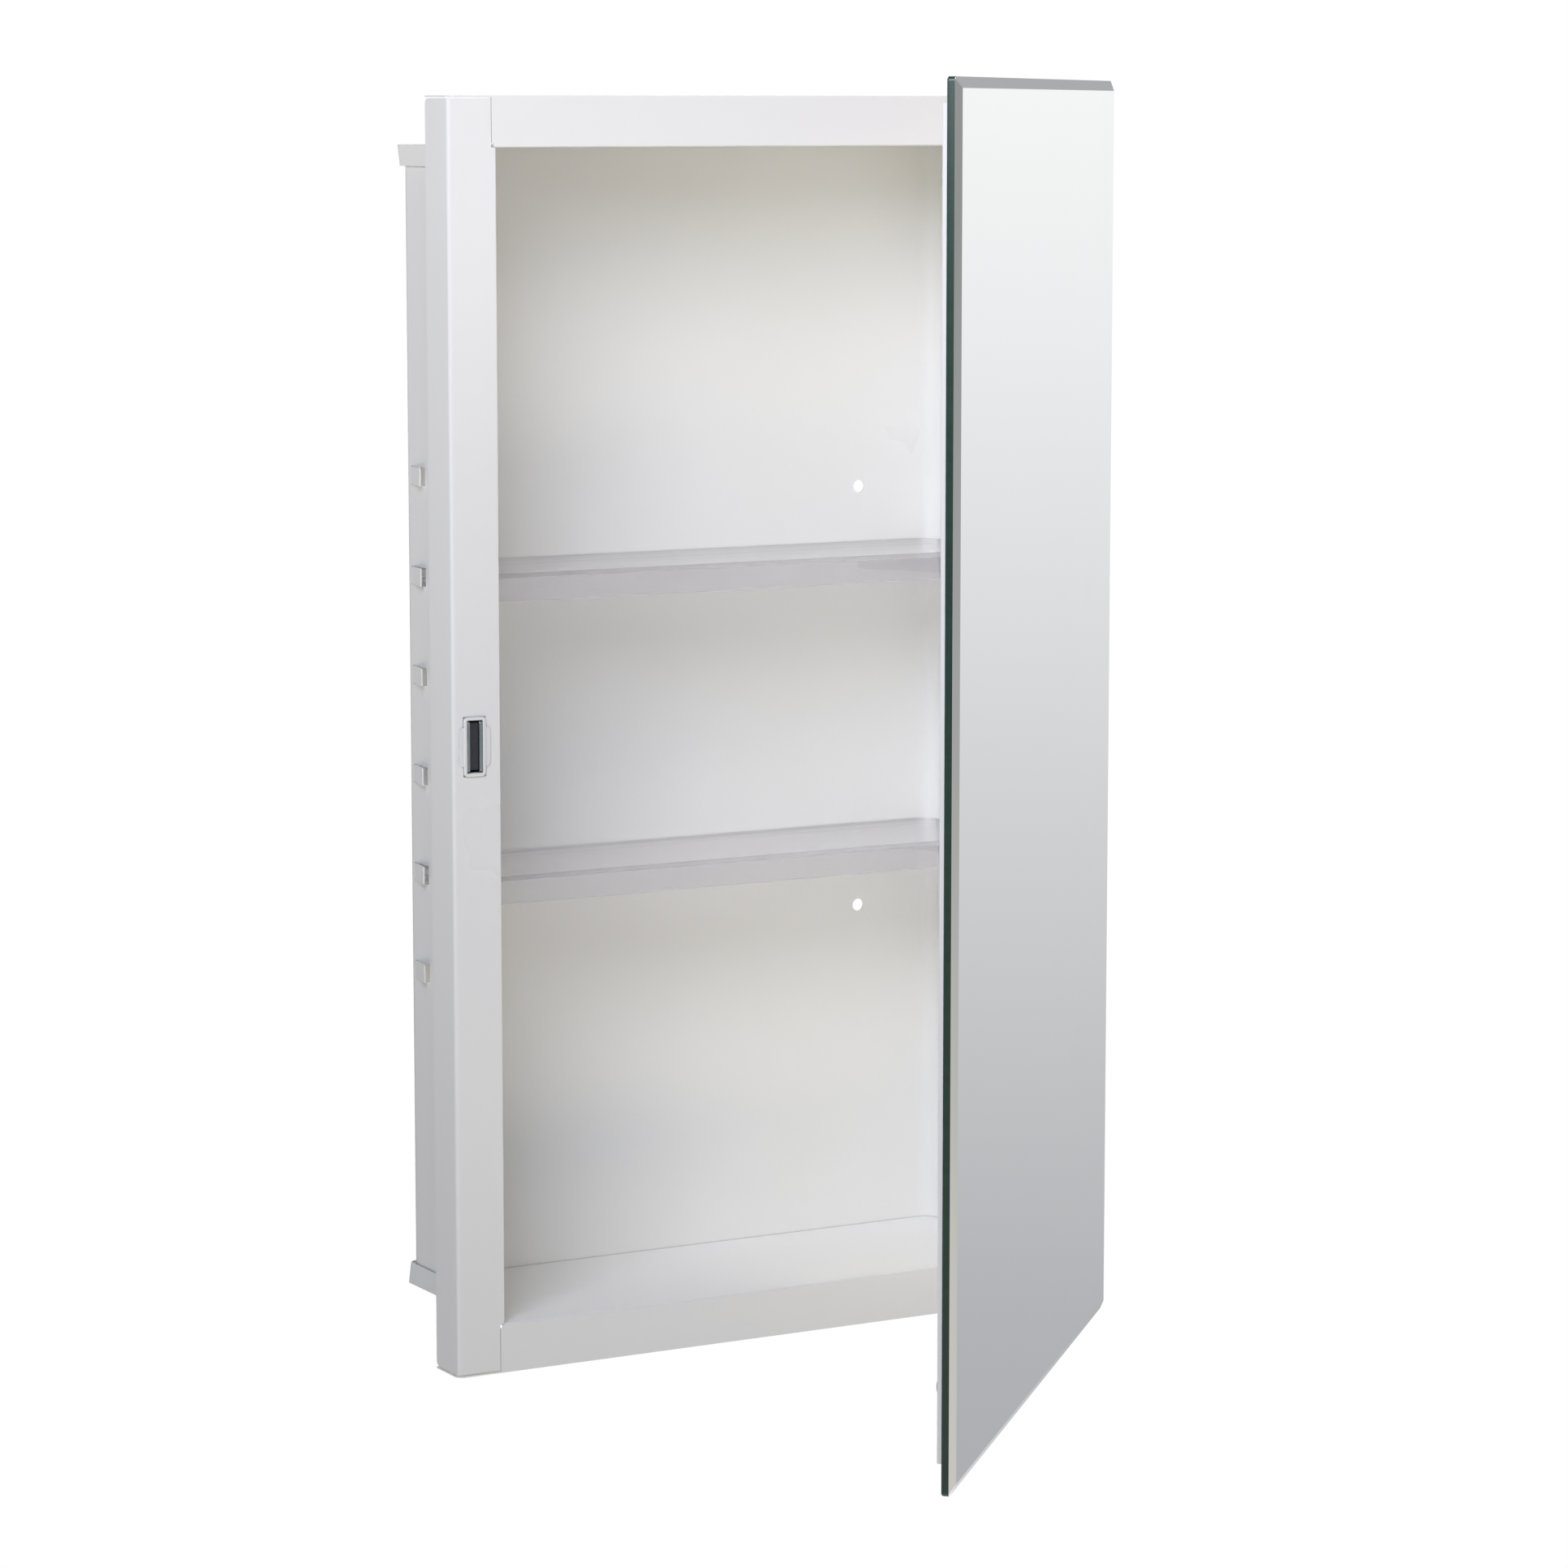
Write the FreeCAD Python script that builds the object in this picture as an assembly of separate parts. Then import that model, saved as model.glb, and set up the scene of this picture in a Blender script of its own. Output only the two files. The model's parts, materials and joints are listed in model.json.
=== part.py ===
"""Recessed steel medicine cabinet with a frameless bevelled mirror door.

Millimetres. X runs across the front, Y runs into the wall and Z runs up. The origin is the centre
of the four wall screw holes, on the outer face of the back panel. The cabinet stands open at rest.
"""
import FreeCAD
import Part
import os

from FreeCAD import Vector

# ---------------------------------------------------------------- driving dimensions
sheet = 0.8                     # painted steel sheet of the cabinet
bend_radius = 0.9               # inside radius of the sharp folds
eps = 0.01

frame_width = 371.0             # front frame, outside the side returns
frame_height = 644.0            # front frame, outside the top and bottom returns
frame_mid_z = 2.5               # centre of the frame above the centre of the wall screws
stile_width = 26.5              # left and right face of the frame
rail_width = 25.4               # top and bottom face of the frame
rail_overlap = 2.4              # how far a rail laps past the inner edge of a stile
joint_gap = 0.3                 # open line between a stile and a rail
stile_drop = 1.4                # stile end below the outer face of the rail's return
return_depth = 25.4             # frame face to wall surface
cabinet_depth = 111.0           # frame face to the outside of the back panel
body_corner_radius = 9.0        # outside radius of the two rear corners
return_corner_radius = 3.0      # rounded rear corners of the side returns

tray_height = 10.8              # cap flange folded over the outside of the walls
tray_gap = 0.2                  # between that flange and the wall
tray_draft = 1.2                # the flange leans out by this much from free edge to panel
tray_corner_radius = 4.7        # outside radius of its rear corners at the free edge
tray_start = 12.0               # frame face to the front end of the cap flange
relief_width = 1.2              # bend relief at each inner corner of the frame
relief_height = 2.2
flange_clip = 2.5               # clipped front corners of the top and bottom returns

screw_spacing_x = 224.0
screw_spacing_z = 230.0
screw_hole_radius = 3.4

window_levels = 6               # rows of lanced shelf supports in each side wall
window_pitch = 51.5
window_height = 9.6
window_length = 17.0
window_bulge = 3.2              # how far the lanced tab stands out at its front end
window_shear = 0.25             # gap between the tab and its window
front_window_lead = 1.0         # front of the shelf to the front end of the first row
rear_window_margin = 10.0       # rear end of the second row to the outside of the back panel

shelf_levels = {"upper_shelf": 1, "lower_shelf": 4}
shelf_thickness = 2.6
shelf_side_gap = 0.6
shelf_back_gap = 0.7
shelf_setback = 29.0            # frame face to the front of the shelf's lip
shelf_rise = 5.5                # shelf top above the middle of its window
shelf_lip_height = 14.5
shelf_wall = 2.2                # front lip and end flanges
shelf_corner_radius = 10.0
lug_length = 5.5
lug_height = 4.5
lug_reach = 2.1                 # past the shelf's end, into the window's pocket
lug_end_gap = 0.6
lug_sill_gap = 0.1

catch_x = 12.0                  # frame edge to the middle of the catch
catch_width = 12.2
catch_height = 30.0
catch_wing_width = 17.2
catch_wing_height = 19.6
catch_wing_thickness = 0.7
catch_wing_radius = 2.4
catch_proud = 1.1
catch_body_depth = 13.0         # behind the face of the stile
catch_wall = 1.7
catch_floor = 1.6
catch_fit_gap = 0.15            # housing in its cut-out
plate_thickness = 1.6
plate_height = 25.4
plate_depth = 11.0
plate_float_gap = 0.2
plate_front = 0.6               # pole plate proud of the stile at rest
magnet_setback = 1.5            # magnet behind the front of the pole plates
plate_door_gap = 0.1            # pole plate to the closed door, magnet unit pulled out

mirror_overhang = 8.0           # past the frame on every side
mirror_thickness = 6.0
bevel_width = 5.2
bevel_depth = 2.5
backing_thickness = 0.3
backing_inset = 1.0
tape_thickness = 0.8
tape_width = 8.0
pan_depth = 4.4
pan_sheet = 0.7
pan_lip = 9.0
pan_bend_radius = 1.2
pan_inset_free = 14.0           # pan inside the mirror at its opening edge
pan_inset_end = 12.0            # pan inside the mirror at its top and bottom
pan_hinge_gap = 0.2             # pan inside the frame's edge at the hinge

hinge_end_inset = 22.0          # frame end to the end of the hinge
knuckle_count = 25
knuckle_radius = 2.2
knuckle_gap = 0.3
knuckle_bore = 1.06
pin_radius = 1.0
pin_overhang = 0.6
leaf_thickness = 0.7
leaf_gap = 0.2                  # between the two leaves of the closed door
leaf_width = 15.0
knuckle_clear = 0.35
hinge_side_gap = 0.4            # barrel outside the frame's edge
rivet_count = 7
rivet_offset = 7.5              # frame edge to the line of rivets
rivet_shank_radius = 1.5
rivet_hole_gap = 0.05
rivet_head_radius = 2.6
rivet_head_height = 0.5
rivet_tail_radius = 2.1
rivet_tail_length = 1.6
rivet_clear_radius = 3.4        # hole in the facing leaf for a rivet's head

bumper_radius = 4.0
bumper_gap = 0.2                # bumper to the stile, door closed
bumper_from_edge = 13.0         # frame edge to the middle of a bumper
bumper_from_end = 40.0          # frame end to the middle of a bumper

open_angle = 46.5               # how far the door stands open at rest

# ---------------------------------------------------------------- places worked out from them
front_y = -cabinet_depth
wall_y = front_y + return_depth
half_w = frame_width / 2
top_z = frame_mid_z + frame_height / 2
bottom_z = frame_mid_z - frame_height / 2
body_top_z = top_z - rail_width
body_bottom_z = bottom_z + rail_width
inner_half = half_w - stile_width
outer_half = inner_half + sheet
hinge_x = half_w + hinge_side_gap + knuckle_radius
hinge_length = frame_height - 2 * hinge_end_inset
door_gap = 2 * leaf_thickness + leaf_gap
bumper_thickness = door_gap - bumper_gap
magnet_float = door_gap - plate_front - plate_door_gap
hinge_y = front_y - door_gap / 2
pan_back_y = front_y - door_gap
pan_front_y = pan_back_y - pan_depth
tape_front_y = pan_front_y - tape_thickness
glass_back_y = tape_front_y - backing_thickness
glass_front_y = glass_back_y - mirror_thickness
mirror_half = half_w + mirror_overhang
mirror_top_z = top_z + mirror_overhang
mirror_bottom_z = bottom_z - mirror_overhang


def box(x0, x1, y0, y1, z0, z1):
    """A box between two corners."""
    return Part.makeBox(x1 - x0, y1 - y0, z1 - z0, Vector(x0, y0, z0))


def prism(points, z0, z1):
    """A polygon in plan, raised from z0 to z1."""
    corners = [Vector(x, y, z0) for x, y in points]
    face = Part.Face(Part.makePolygon(corners + corners[:1]))
    return face.extrude(Vector(0, 0, z1 - z0))


def upright(shape, places, radius):
    """Round the vertical edges that stand at the given plan positions."""
    chosen = []
    for edge in shape.Edges:
        a, b = edge.Vertexes[0].Point, edge.Vertexes[-1].Point
        if abs(a.x - b.x) > eps or abs(a.y - b.y) > eps:
            continue
        if any(abs(a.x - x) < eps and abs(a.y - y) < eps for x, y in places):
            chosen.append(edge)
    return shape.makeFillet(radius, chosen)


def along_x(shape, places, radius):
    """Round the edges along X that lie at the given (y, z) positions."""
    chosen = []
    for edge in shape.Edges:
        a, b = edge.Vertexes[0].Point, edge.Vertexes[-1].Point
        if abs(a.y - b.y) > eps or abs(a.z - b.z) > eps:
            continue
        if any(abs(a.y - y) < eps and abs(a.z - z) < eps for y, z in places):
            chosen.append(edge)
    return shape.makeFillet(radius, chosen)


def along_y(shape, places, radius):
    """Round the edges along Y that lie at the given (x, z) positions."""
    chosen = []
    for edge in shape.Edges:
        a, b = edge.Vertexes[0].Point, edge.Vertexes[-1].Point
        if abs(a.x - b.x) > eps or abs(a.z - b.z) > eps:
            continue
        if any(abs(a.x - x) < eps and abs(a.z - z) < eps for x, z in places):
            chosen.append(edge)
    return shape.makeFillet(radius, chosen)


def cylinder_y(radius, x, y0, y1, z):
    """A round bar along Y."""
    return Part.makeCylinder(radius, y1 - y0, Vector(x, y0, z), Vector(0, 1, 0))


def mirrored_x(shape):
    """The same shape on the other side of the cabinet."""
    return shape.mirror(Vector(0, 0, 0), Vector(1, 0, 0))


def fused(shapes):
    """One clean solid from overlapping or touching shapes."""
    return shapes[0].fuse(list(shapes[1:])).removeSplitter()


def window_z(level):
    """Height of the middle of a window; level 0 is the highest."""
    return frame_mid_z + ((window_levels - 1) / 2 - level) * window_pitch


def window_fronts():
    """Front end of both rows of windows."""
    front_row = front_y + shelf_setback + front_window_lead
    rear_row = -rear_window_margin - window_length
    return [front_row, rear_row]


# ---------------------------------------------------------------- cabinet body
def frame_corner():
    """Right-hand side return and the face of its stile, one L-shaped strip."""
    stile_end = half_w - (stile_width - rail_overlap - joint_gap)
    points = [
        (stile_end, front_y),
        (half_w, front_y),
        (half_w, wall_y),
        (half_w - sheet, wall_y),
        (half_w - sheet, front_y + sheet),
        (stile_end, front_y + sheet),
    ]
    z0, z1 = bottom_z + stile_drop, top_z - stile_drop
    strip = prism(points, z0, z1)
    strip = upright(strip, [(half_w, front_y)], bend_radius + sheet)
    strip = upright(strip, [(half_w - sheet, front_y + sheet)], bend_radius)
    rear_ends = []
    for edge in strip.Edges:
        a, b = edge.Vertexes[0].Point, edge.Vertexes[-1].Point
        at_wall = abs(a.y - wall_y) < eps and abs(b.y - wall_y) < eps
        if at_wall and abs(a.z - b.z) < eps and abs(a.x - b.x) > eps:
            rear_ends.append(edge)
    return strip.makeFillet(return_corner_radius, rear_ends)


def body_wrap():
    """Back panel, side walls and the inner strips of the stiles, as one folded sheet."""
    stile_end = half_w - (stile_width - rail_overlap - joint_gap)
    right = [
        (inner_half, -sheet),
        (inner_half, front_y),
        (stile_end, front_y),
        (stile_end, front_y + sheet),
        (outer_half, front_y + sheet),
        (outer_half, 0),
    ]
    left = [(-x, y) for x, y in reversed(right)]
    wrap = prism(right + left, body_bottom_z, body_top_z)
    wrap = upright(wrap, [(outer_half, 0), (-outer_half, 0)], body_corner_radius)
    inner_corners = [(inner_half, -sheet), (-inner_half, -sheet)]
    wrap = upright(wrap, inner_corners, body_corner_radius - sheet)
    wrap = upright(wrap, [(inner_half, front_y), (-inner_half, front_y)], sheet * 0.9)
    return wrap


def window_cut(y0, z):
    """The hole of one lanced window in the right-hand wall."""
    half = window_height / 2
    return box(inner_half - 1, outer_half + 1, y0, y0 + window_length, z - half, z + half)


def window_tab(y0, z):
    """The lanced tab of one window: flush at its rear end, standing out at its front end."""
    y1 = y0 + window_length
    lap = 1.5
    points = [
        (inner_half, y1 + lap),
        (inner_half, y1),
        (inner_half + window_bulge, y0),
        (outer_half + window_bulge, y0),
        (outer_half, y1),
        (outer_half, y1 + lap),
    ]
    half = window_height / 2 - window_shear
    return prism(points, z - half, z + half)


def catch_cutout():
    """Hole in the left stile for the magnetic catch."""
    x = -half_w + catch_x
    half = catch_width / 2 + catch_fit_gap
    tall = catch_height / 2 + catch_fit_gap
    return box(x - half, x + half, front_y - 1, front_y + 2, frame_mid_z - tall, frame_mid_z + tall)


def frame_rivet_heights():
    """Heights of the rivets in the frame's hinge leaf."""
    pitch = hinge_length / rivet_count
    return [frame_mid_z + (i - (rivet_count - 1) / 2) * pitch for i in range(rivet_count)]


def door_rivet_heights():
    """Heights of the rivets in the door's hinge leaf, half a pitch above those of the frame."""
    pitch = hinge_length / rivet_count
    return [z + pitch / 2 for z in frame_rivet_heights()[:-1]]


def cabinet_wrapper():
    """Sides, back, stiles and side returns, with their holes and shelf supports."""
    corner = frame_corner()
    shape = fused([body_wrap(), corner, mirrored_x(corner)])
    cuts, tabs = [], []
    for y0 in window_fronts():
        for level in range(window_levels):
            cut = window_cut(y0, window_z(level))
            tab = window_tab(y0, window_z(level))
            cuts += [cut, mirrored_x(cut)]
            tabs += [tab, mirrored_x(tab)]
    for sx in (-1, 1):
        for sz in (-1, 1):
            x, z = sx * screw_spacing_x / 2, sz * screw_spacing_z / 2
            cuts.append(cylinder_y(screw_hole_radius, x, -2, 1, z))
    rivet_x = half_w - rivet_offset
    hole = rivet_shank_radius + rivet_hole_gap
    for z in frame_rivet_heights():
        cuts.append(cylinder_y(hole, rivet_x, front_y - 1, front_y + 2, z))
    cuts.append(catch_cutout())
    return fused([shape.cut(cuts)] + tabs)


def tray_outline(half, y0, y1, radius, z):
    """Level outline of the tray: square in front, with two rounded rear corners."""
    bend = radius * (1 - 0.5 ** 0.5)
    corners = [Vector(half, y1 - radius, z), Vector(half - radius, y1, z),
               Vector(radius - half, y1, z), Vector(-half, y1 - radius, z)]
    right = Part.Arc(corners[0], Vector(half - bend, y1 - bend, z), corners[1])
    left = Part.Arc(corners[2], Vector(bend - half, y1 - bend, z), corners[3])
    front = [Vector(-half, y0, z), Vector(half, y0, z)]
    return Part.Wire([
        Part.makeLine(front[1], corners[0]), right.toShape(), Part.makeLine(corners[1], corners[2]),
        left.toShape(), Part.makeLine(corners[3], front[0]), Part.makeLine(front[0], front[1]),
    ])


def tray_block(inset, y0, z0, z1):
    """Solid tray from its free edge up to a level, its three sides leaning out by the draft."""
    half = outer_half + tray_gap + sheet - inset
    rear = tray_gap + sheet - inset
    radius = tray_corner_radius - inset
    lean = tray_draft * (z1 - z0) / tray_height
    wires = [tray_outline(half, y0, rear, radius, z0),
             tray_outline(half + lean, y0, rear + lean, radius + lean, z1)]
    return Part.makeLoft(wires, True, True)


def top_cap():
    """Top panel, top rail, its return to the wall and the flange over the walls."""
    reach = outer_half + tray_gap + sheet + tray_draft
    z0 = body_top_z
    low = z0 + sheet - tray_height
    hollow = tray_block(sheet, front_y - 1, low, z0)
    trim = box(-reach - 1, reach + 1, front_y - 1, front_y + tray_start, low - 1, z0)
    tray = tray_block(0, front_y, low, z0 + sheet).cut([hollow, trim])
    rail_half = half_w - (stile_width - rail_overlap)
    face = box(-rail_half, rail_half, front_y, front_y + sheet, z0, top_z)
    clip = flange_clip
    points = [
        (-half_w, wall_y),
        (-half_w, front_y + clip),
        (-half_w + clip, front_y),
        (half_w - clip, front_y),
        (half_w, front_y + clip),
        (half_w, wall_y),
    ]
    flange = prism(points, top_z - sheet, top_z)
    shape = fused([tray, face, flange])
    inner_x = rail_half - relief_width
    for sx in (-1, 1):
        x0, x1 = sorted((sx * inner_x, sx * (rail_half + 1)))
        relief = box(x0, x1, front_y - 1, front_y + 3, z0 - 1, z0 + relief_height)
        shape = shape.cut(relief)
    shape = along_x(shape, [(front_y, z0)], bend_radius)
    return shape


def flipped_z(shape):
    """The same shape at the other end of the cabinet."""
    return shape.mirror(Vector(0, 0, frame_mid_z), Vector(0, 0, 1))


# ---------------------------------------------------------------- shelves
def shelf(level):
    """Clear shelf: a plate with a front lip, end flanges and four lugs in the windows."""
    half = inner_half - shelf_side_gap
    y0 = front_y + shelf_setback
    y1 = -sheet - shelf_back_gap
    z1 = window_z(level) + shelf_rise
    z0 = z1 - shelf_lip_height
    block = box(-half, half, y0, y1, z0, z1)
    block = upright(block, [(half, y1), (-half, y1)], shelf_corner_radius)
    block = upright(block, [(half, y0), (-half, y0)], shelf_wall * 0.7)
    end = half - shelf_wall
    hollow = box(-end, end, y0 + shelf_wall, y1 + 1, z0 - 1, z1 - shelf_thickness)
    behind = y1 - shelf_corner_radius
    trim = box(-half - 1, half + 1, behind, y1 + 1, z0 - 1, z1 - shelf_thickness)
    parts = [block.cut([hollow, trim])]
    lug_z = window_z(level) - window_height / 2 + lug_sill_gap
    for front in window_fronts():
        lug_y = front + lug_end_gap
        lug = box(end, half + lug_reach, lug_y, lug_y + lug_length, lug_z, lug_z + lug_height)
        parts += [lug, mirrored_x(lug)]
    return fused(parts)


# ---------------------------------------------------------------- magnetic catch
def catch_housing():
    """White snap-in housing: a block with two wings on the stile and an open pocket."""
    x = -half_w + catch_x
    half, tall = catch_width / 2, catch_height / 2
    rear = front_y + catch_body_depth
    block = box(x - half, x + half, front_y - catch_proud, rear,
                frame_mid_z - tall, frame_mid_z + tall)
    wide, high = catch_wing_width / 2, catch_wing_height / 2
    wing = box(x - wide, x + wide, front_y - catch_wing_thickness, front_y,
               frame_mid_z - high, frame_mid_z + high)
    corners = [(x + sx * wide, frame_mid_z + sz * high) for sx in (-1, 1) for sz in (-1, 1)]
    wing = along_y(wing, corners, catch_wing_radius)
    pocket = box(x - half + catch_wall, x + half - catch_wall, front_y - 5, rear - catch_floor,
                 frame_mid_z - tall + catch_wall, frame_mid_z + tall - catch_wall)
    return fused([block, wing]).cut(pocket)


def pole_plate(side):
    """One of the two zinc-plated steel plates beside the magnet."""
    inner = catch_width / 2 - catch_wall - plate_float_gap
    x = -half_w + catch_x
    x0, x1 = sorted((x + side * inner, x + side * (inner - plate_thickness)))
    y0 = front_y - plate_front
    tall = plate_height / 2
    plate = box(x0, x1, y0, y0 + plate_depth, frame_mid_z - tall, frame_mid_z + tall)
    ends = [(y0, frame_mid_z - tall), (y0, frame_mid_z + tall)]
    return along_x(plate, ends, 1.2)


def catch_magnet():
    """Ferrite block between the pole plates."""
    inner = catch_width / 2 - catch_wall - plate_float_gap - plate_thickness
    x = -half_w + catch_x
    y0 = front_y - plate_front + magnet_setback
    y1 = front_y - plate_front + plate_depth
    tall = plate_height / 2 - 0.8
    return box(x - inner, x + inner, y0, y1, frame_mid_z - tall, frame_mid_z + tall)


# ---------------------------------------------------------------- hinge
def knuckle_spans(first):
    """Lower and upper end of every second knuckle, from the first or the second one."""
    pitch = hinge_length / knuckle_count
    base = frame_mid_z - hinge_length / 2
    spans = []
    for i in range(first, knuckle_count, 2):
        spans.append((base + i * pitch + knuckle_gap / 2, base + (i + 1) * pitch - knuckle_gap / 2))
    return spans


def hinge_leaf(y0, first, own_rivets, facing_rivets):
    """One leaf of the long hinge, with its knuckles and rivet holes, door closed."""
    z0 = frame_mid_z - hinge_length / 2
    z1 = frame_mid_z + hinge_length / 2
    y1 = y0 + leaf_thickness
    edge = hinge_x - knuckle_radius - knuckle_clear
    parts = [box(half_w - leaf_width, edge, y0, y1, z0, z1)]
    for low, high in knuckle_spans(first):
        parts.append(box(edge - 1, hinge_x, y0, y1, low, high))
        parts.append(Part.makeCylinder(knuckle_radius, high - low, Vector(hinge_x, hinge_y, low)))
    cuts = [Part.makeCylinder(knuckle_bore, z1 - z0 + 2, Vector(hinge_x, hinge_y, z0 - 1))]
    rivet_x = half_w - rivet_offset
    for z in own_rivets:
        cuts.append(cylinder_y(rivet_shank_radius + rivet_hole_gap, rivet_x, y0 - 1, y1 + 1, z))
    for z in facing_rivets:
        cuts.append(cylinder_y(rivet_clear_radius, rivet_x, y0 - 1, y1 + 1, z))
    return fused(parts).cut(cuts)


def hinge_pin():
    """Steel pin through all the knuckles."""
    z0 = frame_mid_z - hinge_length / 2 - pin_overhang
    return Part.makeCylinder(pin_radius, hinge_length + 2 * pin_overhang,
                             Vector(hinge_x, hinge_y, z0))


def rivets(heights, head_y, direction, grip):
    """Flat-headed rivets: head on the leaf, shank through leaf and sheet, tail behind."""
    x = half_w - rivet_offset
    solids = []
    for z in heights:
        far = head_y + direction * grip
        stages = [
            (rivet_head_radius, head_y - direction * rivet_head_height, head_y),
            (rivet_shank_radius, head_y, far),
            (rivet_tail_radius, far, far + direction * rivet_tail_length),
        ]
        solids.append(fused([cylinder_y(r, x, min(a, b), max(a, b), z) for r, a, b in stages]))
    return Part.makeCompound(solids)


# ---------------------------------------------------------------- door, drawn closed
def pan_box():
    """Edges of the door pan in plan and height."""
    x0 = -mirror_half + pan_inset_free
    x1 = half_w - pan_hinge_gap
    return x0, x1, mirror_bottom_z + pan_inset_end, mirror_top_z - pan_inset_end


def door_pan():
    """Folded white steel pan behind the mirror, with an inward lip that carries the tape."""
    x0, x1, z0, z1 = pan_box()
    t = pan_sheet
    block = box(x0, x1, pan_front_y, pan_back_y, z0, z1)
    block = upright(block, [(x0, pan_back_y), (x1, pan_back_y)], pan_bend_radius)
    hollow = box(x0 + t, x1 - t, pan_front_y + t, pan_back_y - t, z0 + t, z1 - t)
    mouth = box(x0 + pan_lip, x1 - pan_lip, pan_front_y - 1, pan_front_y + 2 * t,
                z0 + pan_lip, z1 - pan_lip)
    cuts = [hollow, mouth]
    rivet_x = half_w - rivet_offset
    hole = rivet_shank_radius + rivet_hole_gap
    for z in door_rivet_heights():
        cuts.append(cylinder_y(hole, rivet_x, pan_back_y - 2 * t, pan_back_y + 1, z))
    return block.cut(cuts)


def side_tapes():
    """Upright foam tape strips between the pan's lips and the mirror."""
    x0, x1, z0, z1 = pan_box()
    strips = [
        box(x0, x0 + tape_width, tape_front_y, pan_front_y, z0, z1),
        box(x1 - tape_width, x1, tape_front_y, pan_front_y, z0, z1),
    ]
    return Part.makeCompound(strips)


def end_tapes():
    """Level foam tape strips between the pan's lips and the mirror."""
    x0, x1, z0, z1 = pan_box()
    left, right = x0 + tape_width + 0.5, x1 - tape_width - 0.5
    strips = [
        box(left, right, tape_front_y, pan_front_y, z0, z0 + tape_width),
        box(left, right, tape_front_y, pan_front_y, z1 - tape_width, z1),
    ]
    return Part.makeCompound(strips)


def mirror_backing():
    """Protective film and silvering behind the glass."""
    i = backing_inset
    return box(-mirror_half + i, mirror_half - i, glass_back_y, tape_front_y,
               mirror_bottom_z + i, mirror_top_z - i)


def mirror_glass():
    """Glass plate with a polished bevel round its front."""
    land_y = glass_front_y + bevel_depth
    plate = box(-mirror_half, mirror_half, land_y, glass_back_y, mirror_bottom_z, mirror_top_z)
    b = bevel_width
    crown = Part.makeWedge(
        -mirror_half + b, glass_front_y, mirror_bottom_z + b,
        mirror_bottom_z, -mirror_half,
        mirror_half - b, land_y, mirror_top_z - b,
        mirror_top_z, mirror_half,
    )
    return fused([plate, crown])


def door_bumpers():
    """Two clear bumpers on the pan, over the latch-side stile."""
    x = -half_w + bumper_from_edge
    solids = []
    for z in (bottom_z + bumper_from_end, top_z - bumper_from_end):
        dot = cylinder_y(bumper_radius, x, pan_back_y, pan_back_y + bumper_thickness, z)
        solids.append(dot)
    return Part.makeCompound(solids)


def opened(shape):
    """Swing a piece of the closed door to its resting angle."""
    turned = shape.copy()
    turned.rotate(Vector(hinge_x, hinge_y, 0), Vector(0, 0, 1), open_angle)
    return turned


# ---------------------------------------------------------------- output
def build():
    """Every node of the cabinet, by name."""
    cap = top_cap()
    frame_leaf_y = front_y - leaf_thickness
    door_leaf_y = pan_back_y
    frame_z, door_z = frame_rivet_heights(), door_rivet_heights()
    grip = leaf_thickness + sheet
    door_grip = leaf_thickness + pan_sheet
    nodes = {
        "cabinet_wrapper": cabinet_wrapper(),
        "top_cap": cap,
        "bottom_cap": flipped_z(cap),
        "catch_housing": catch_housing(),
        "catch_plate_outer": pole_plate(-1),
        "catch_plate_inner": pole_plate(1),
        "catch_magnet": catch_magnet(),
        "hinge_frame_leaf": hinge_leaf(frame_leaf_y, 0, frame_z, door_z),
        "hinge_pin": hinge_pin(),
        "frame_leaf_rivets": rivets(frame_z, frame_leaf_y, 1, grip),
        "hinge_door_leaf": opened(hinge_leaf(door_leaf_y, 1, door_z, frame_z)),
        "door_leaf_rivets": opened(rivets(door_z, door_leaf_y + leaf_thickness, -1, door_grip)),
        "door_pan": opened(door_pan()),
        "mirror_side_tapes": opened(side_tapes()),
        "mirror_end_tapes": opened(end_tapes()),
        "mirror_backing": opened(mirror_backing()),
        "mirror_glass": opened(mirror_glass()),
        "door_bumpers": opened(door_bumpers()),
    }
    for name, level in shelf_levels.items():
        nodes[name] = shelf(level)
    return nodes


os.makedirs("parts", exist_ok=True)
for node_name, node_shape in build().items():
    node_shape.exportStep("parts/" + node_name + ".step")
    print(node_name, len(node_shape.Solids), round(node_shape.Volume / 1000, 2), node_shape.isValid())
print("door hinge axis", round(hinge_x, 3), round(hinge_y, 3), "swing from closed", open_angle)
print("magnet float", round(magnet_float, 3))
print("shelf tops", [round(window_z(n) + shelf_rise, 2) for n in shelf_levels.values()])
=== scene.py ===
"""Recessed bathroom cabinet with a frameless bevelled mirror door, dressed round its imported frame.

Sizes are in millimetres in the dataclasses and become metres where a mesh is made. The folded sheet
steel keeps its CAD nodes and gets its enamel here. The mirror, the clear shelves, the magnetic
catch, the rivets, the hinge pin and the door bumpers are made again as surfaces worked out with
numpy, each inside the place of the CAD node that it stands for.
"""
from __future__ import annotations

import json
import logging
import math
from dataclasses import dataclass
from enum import Enum
from typing import Any, Mapping, Protocol, Sequence

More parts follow.
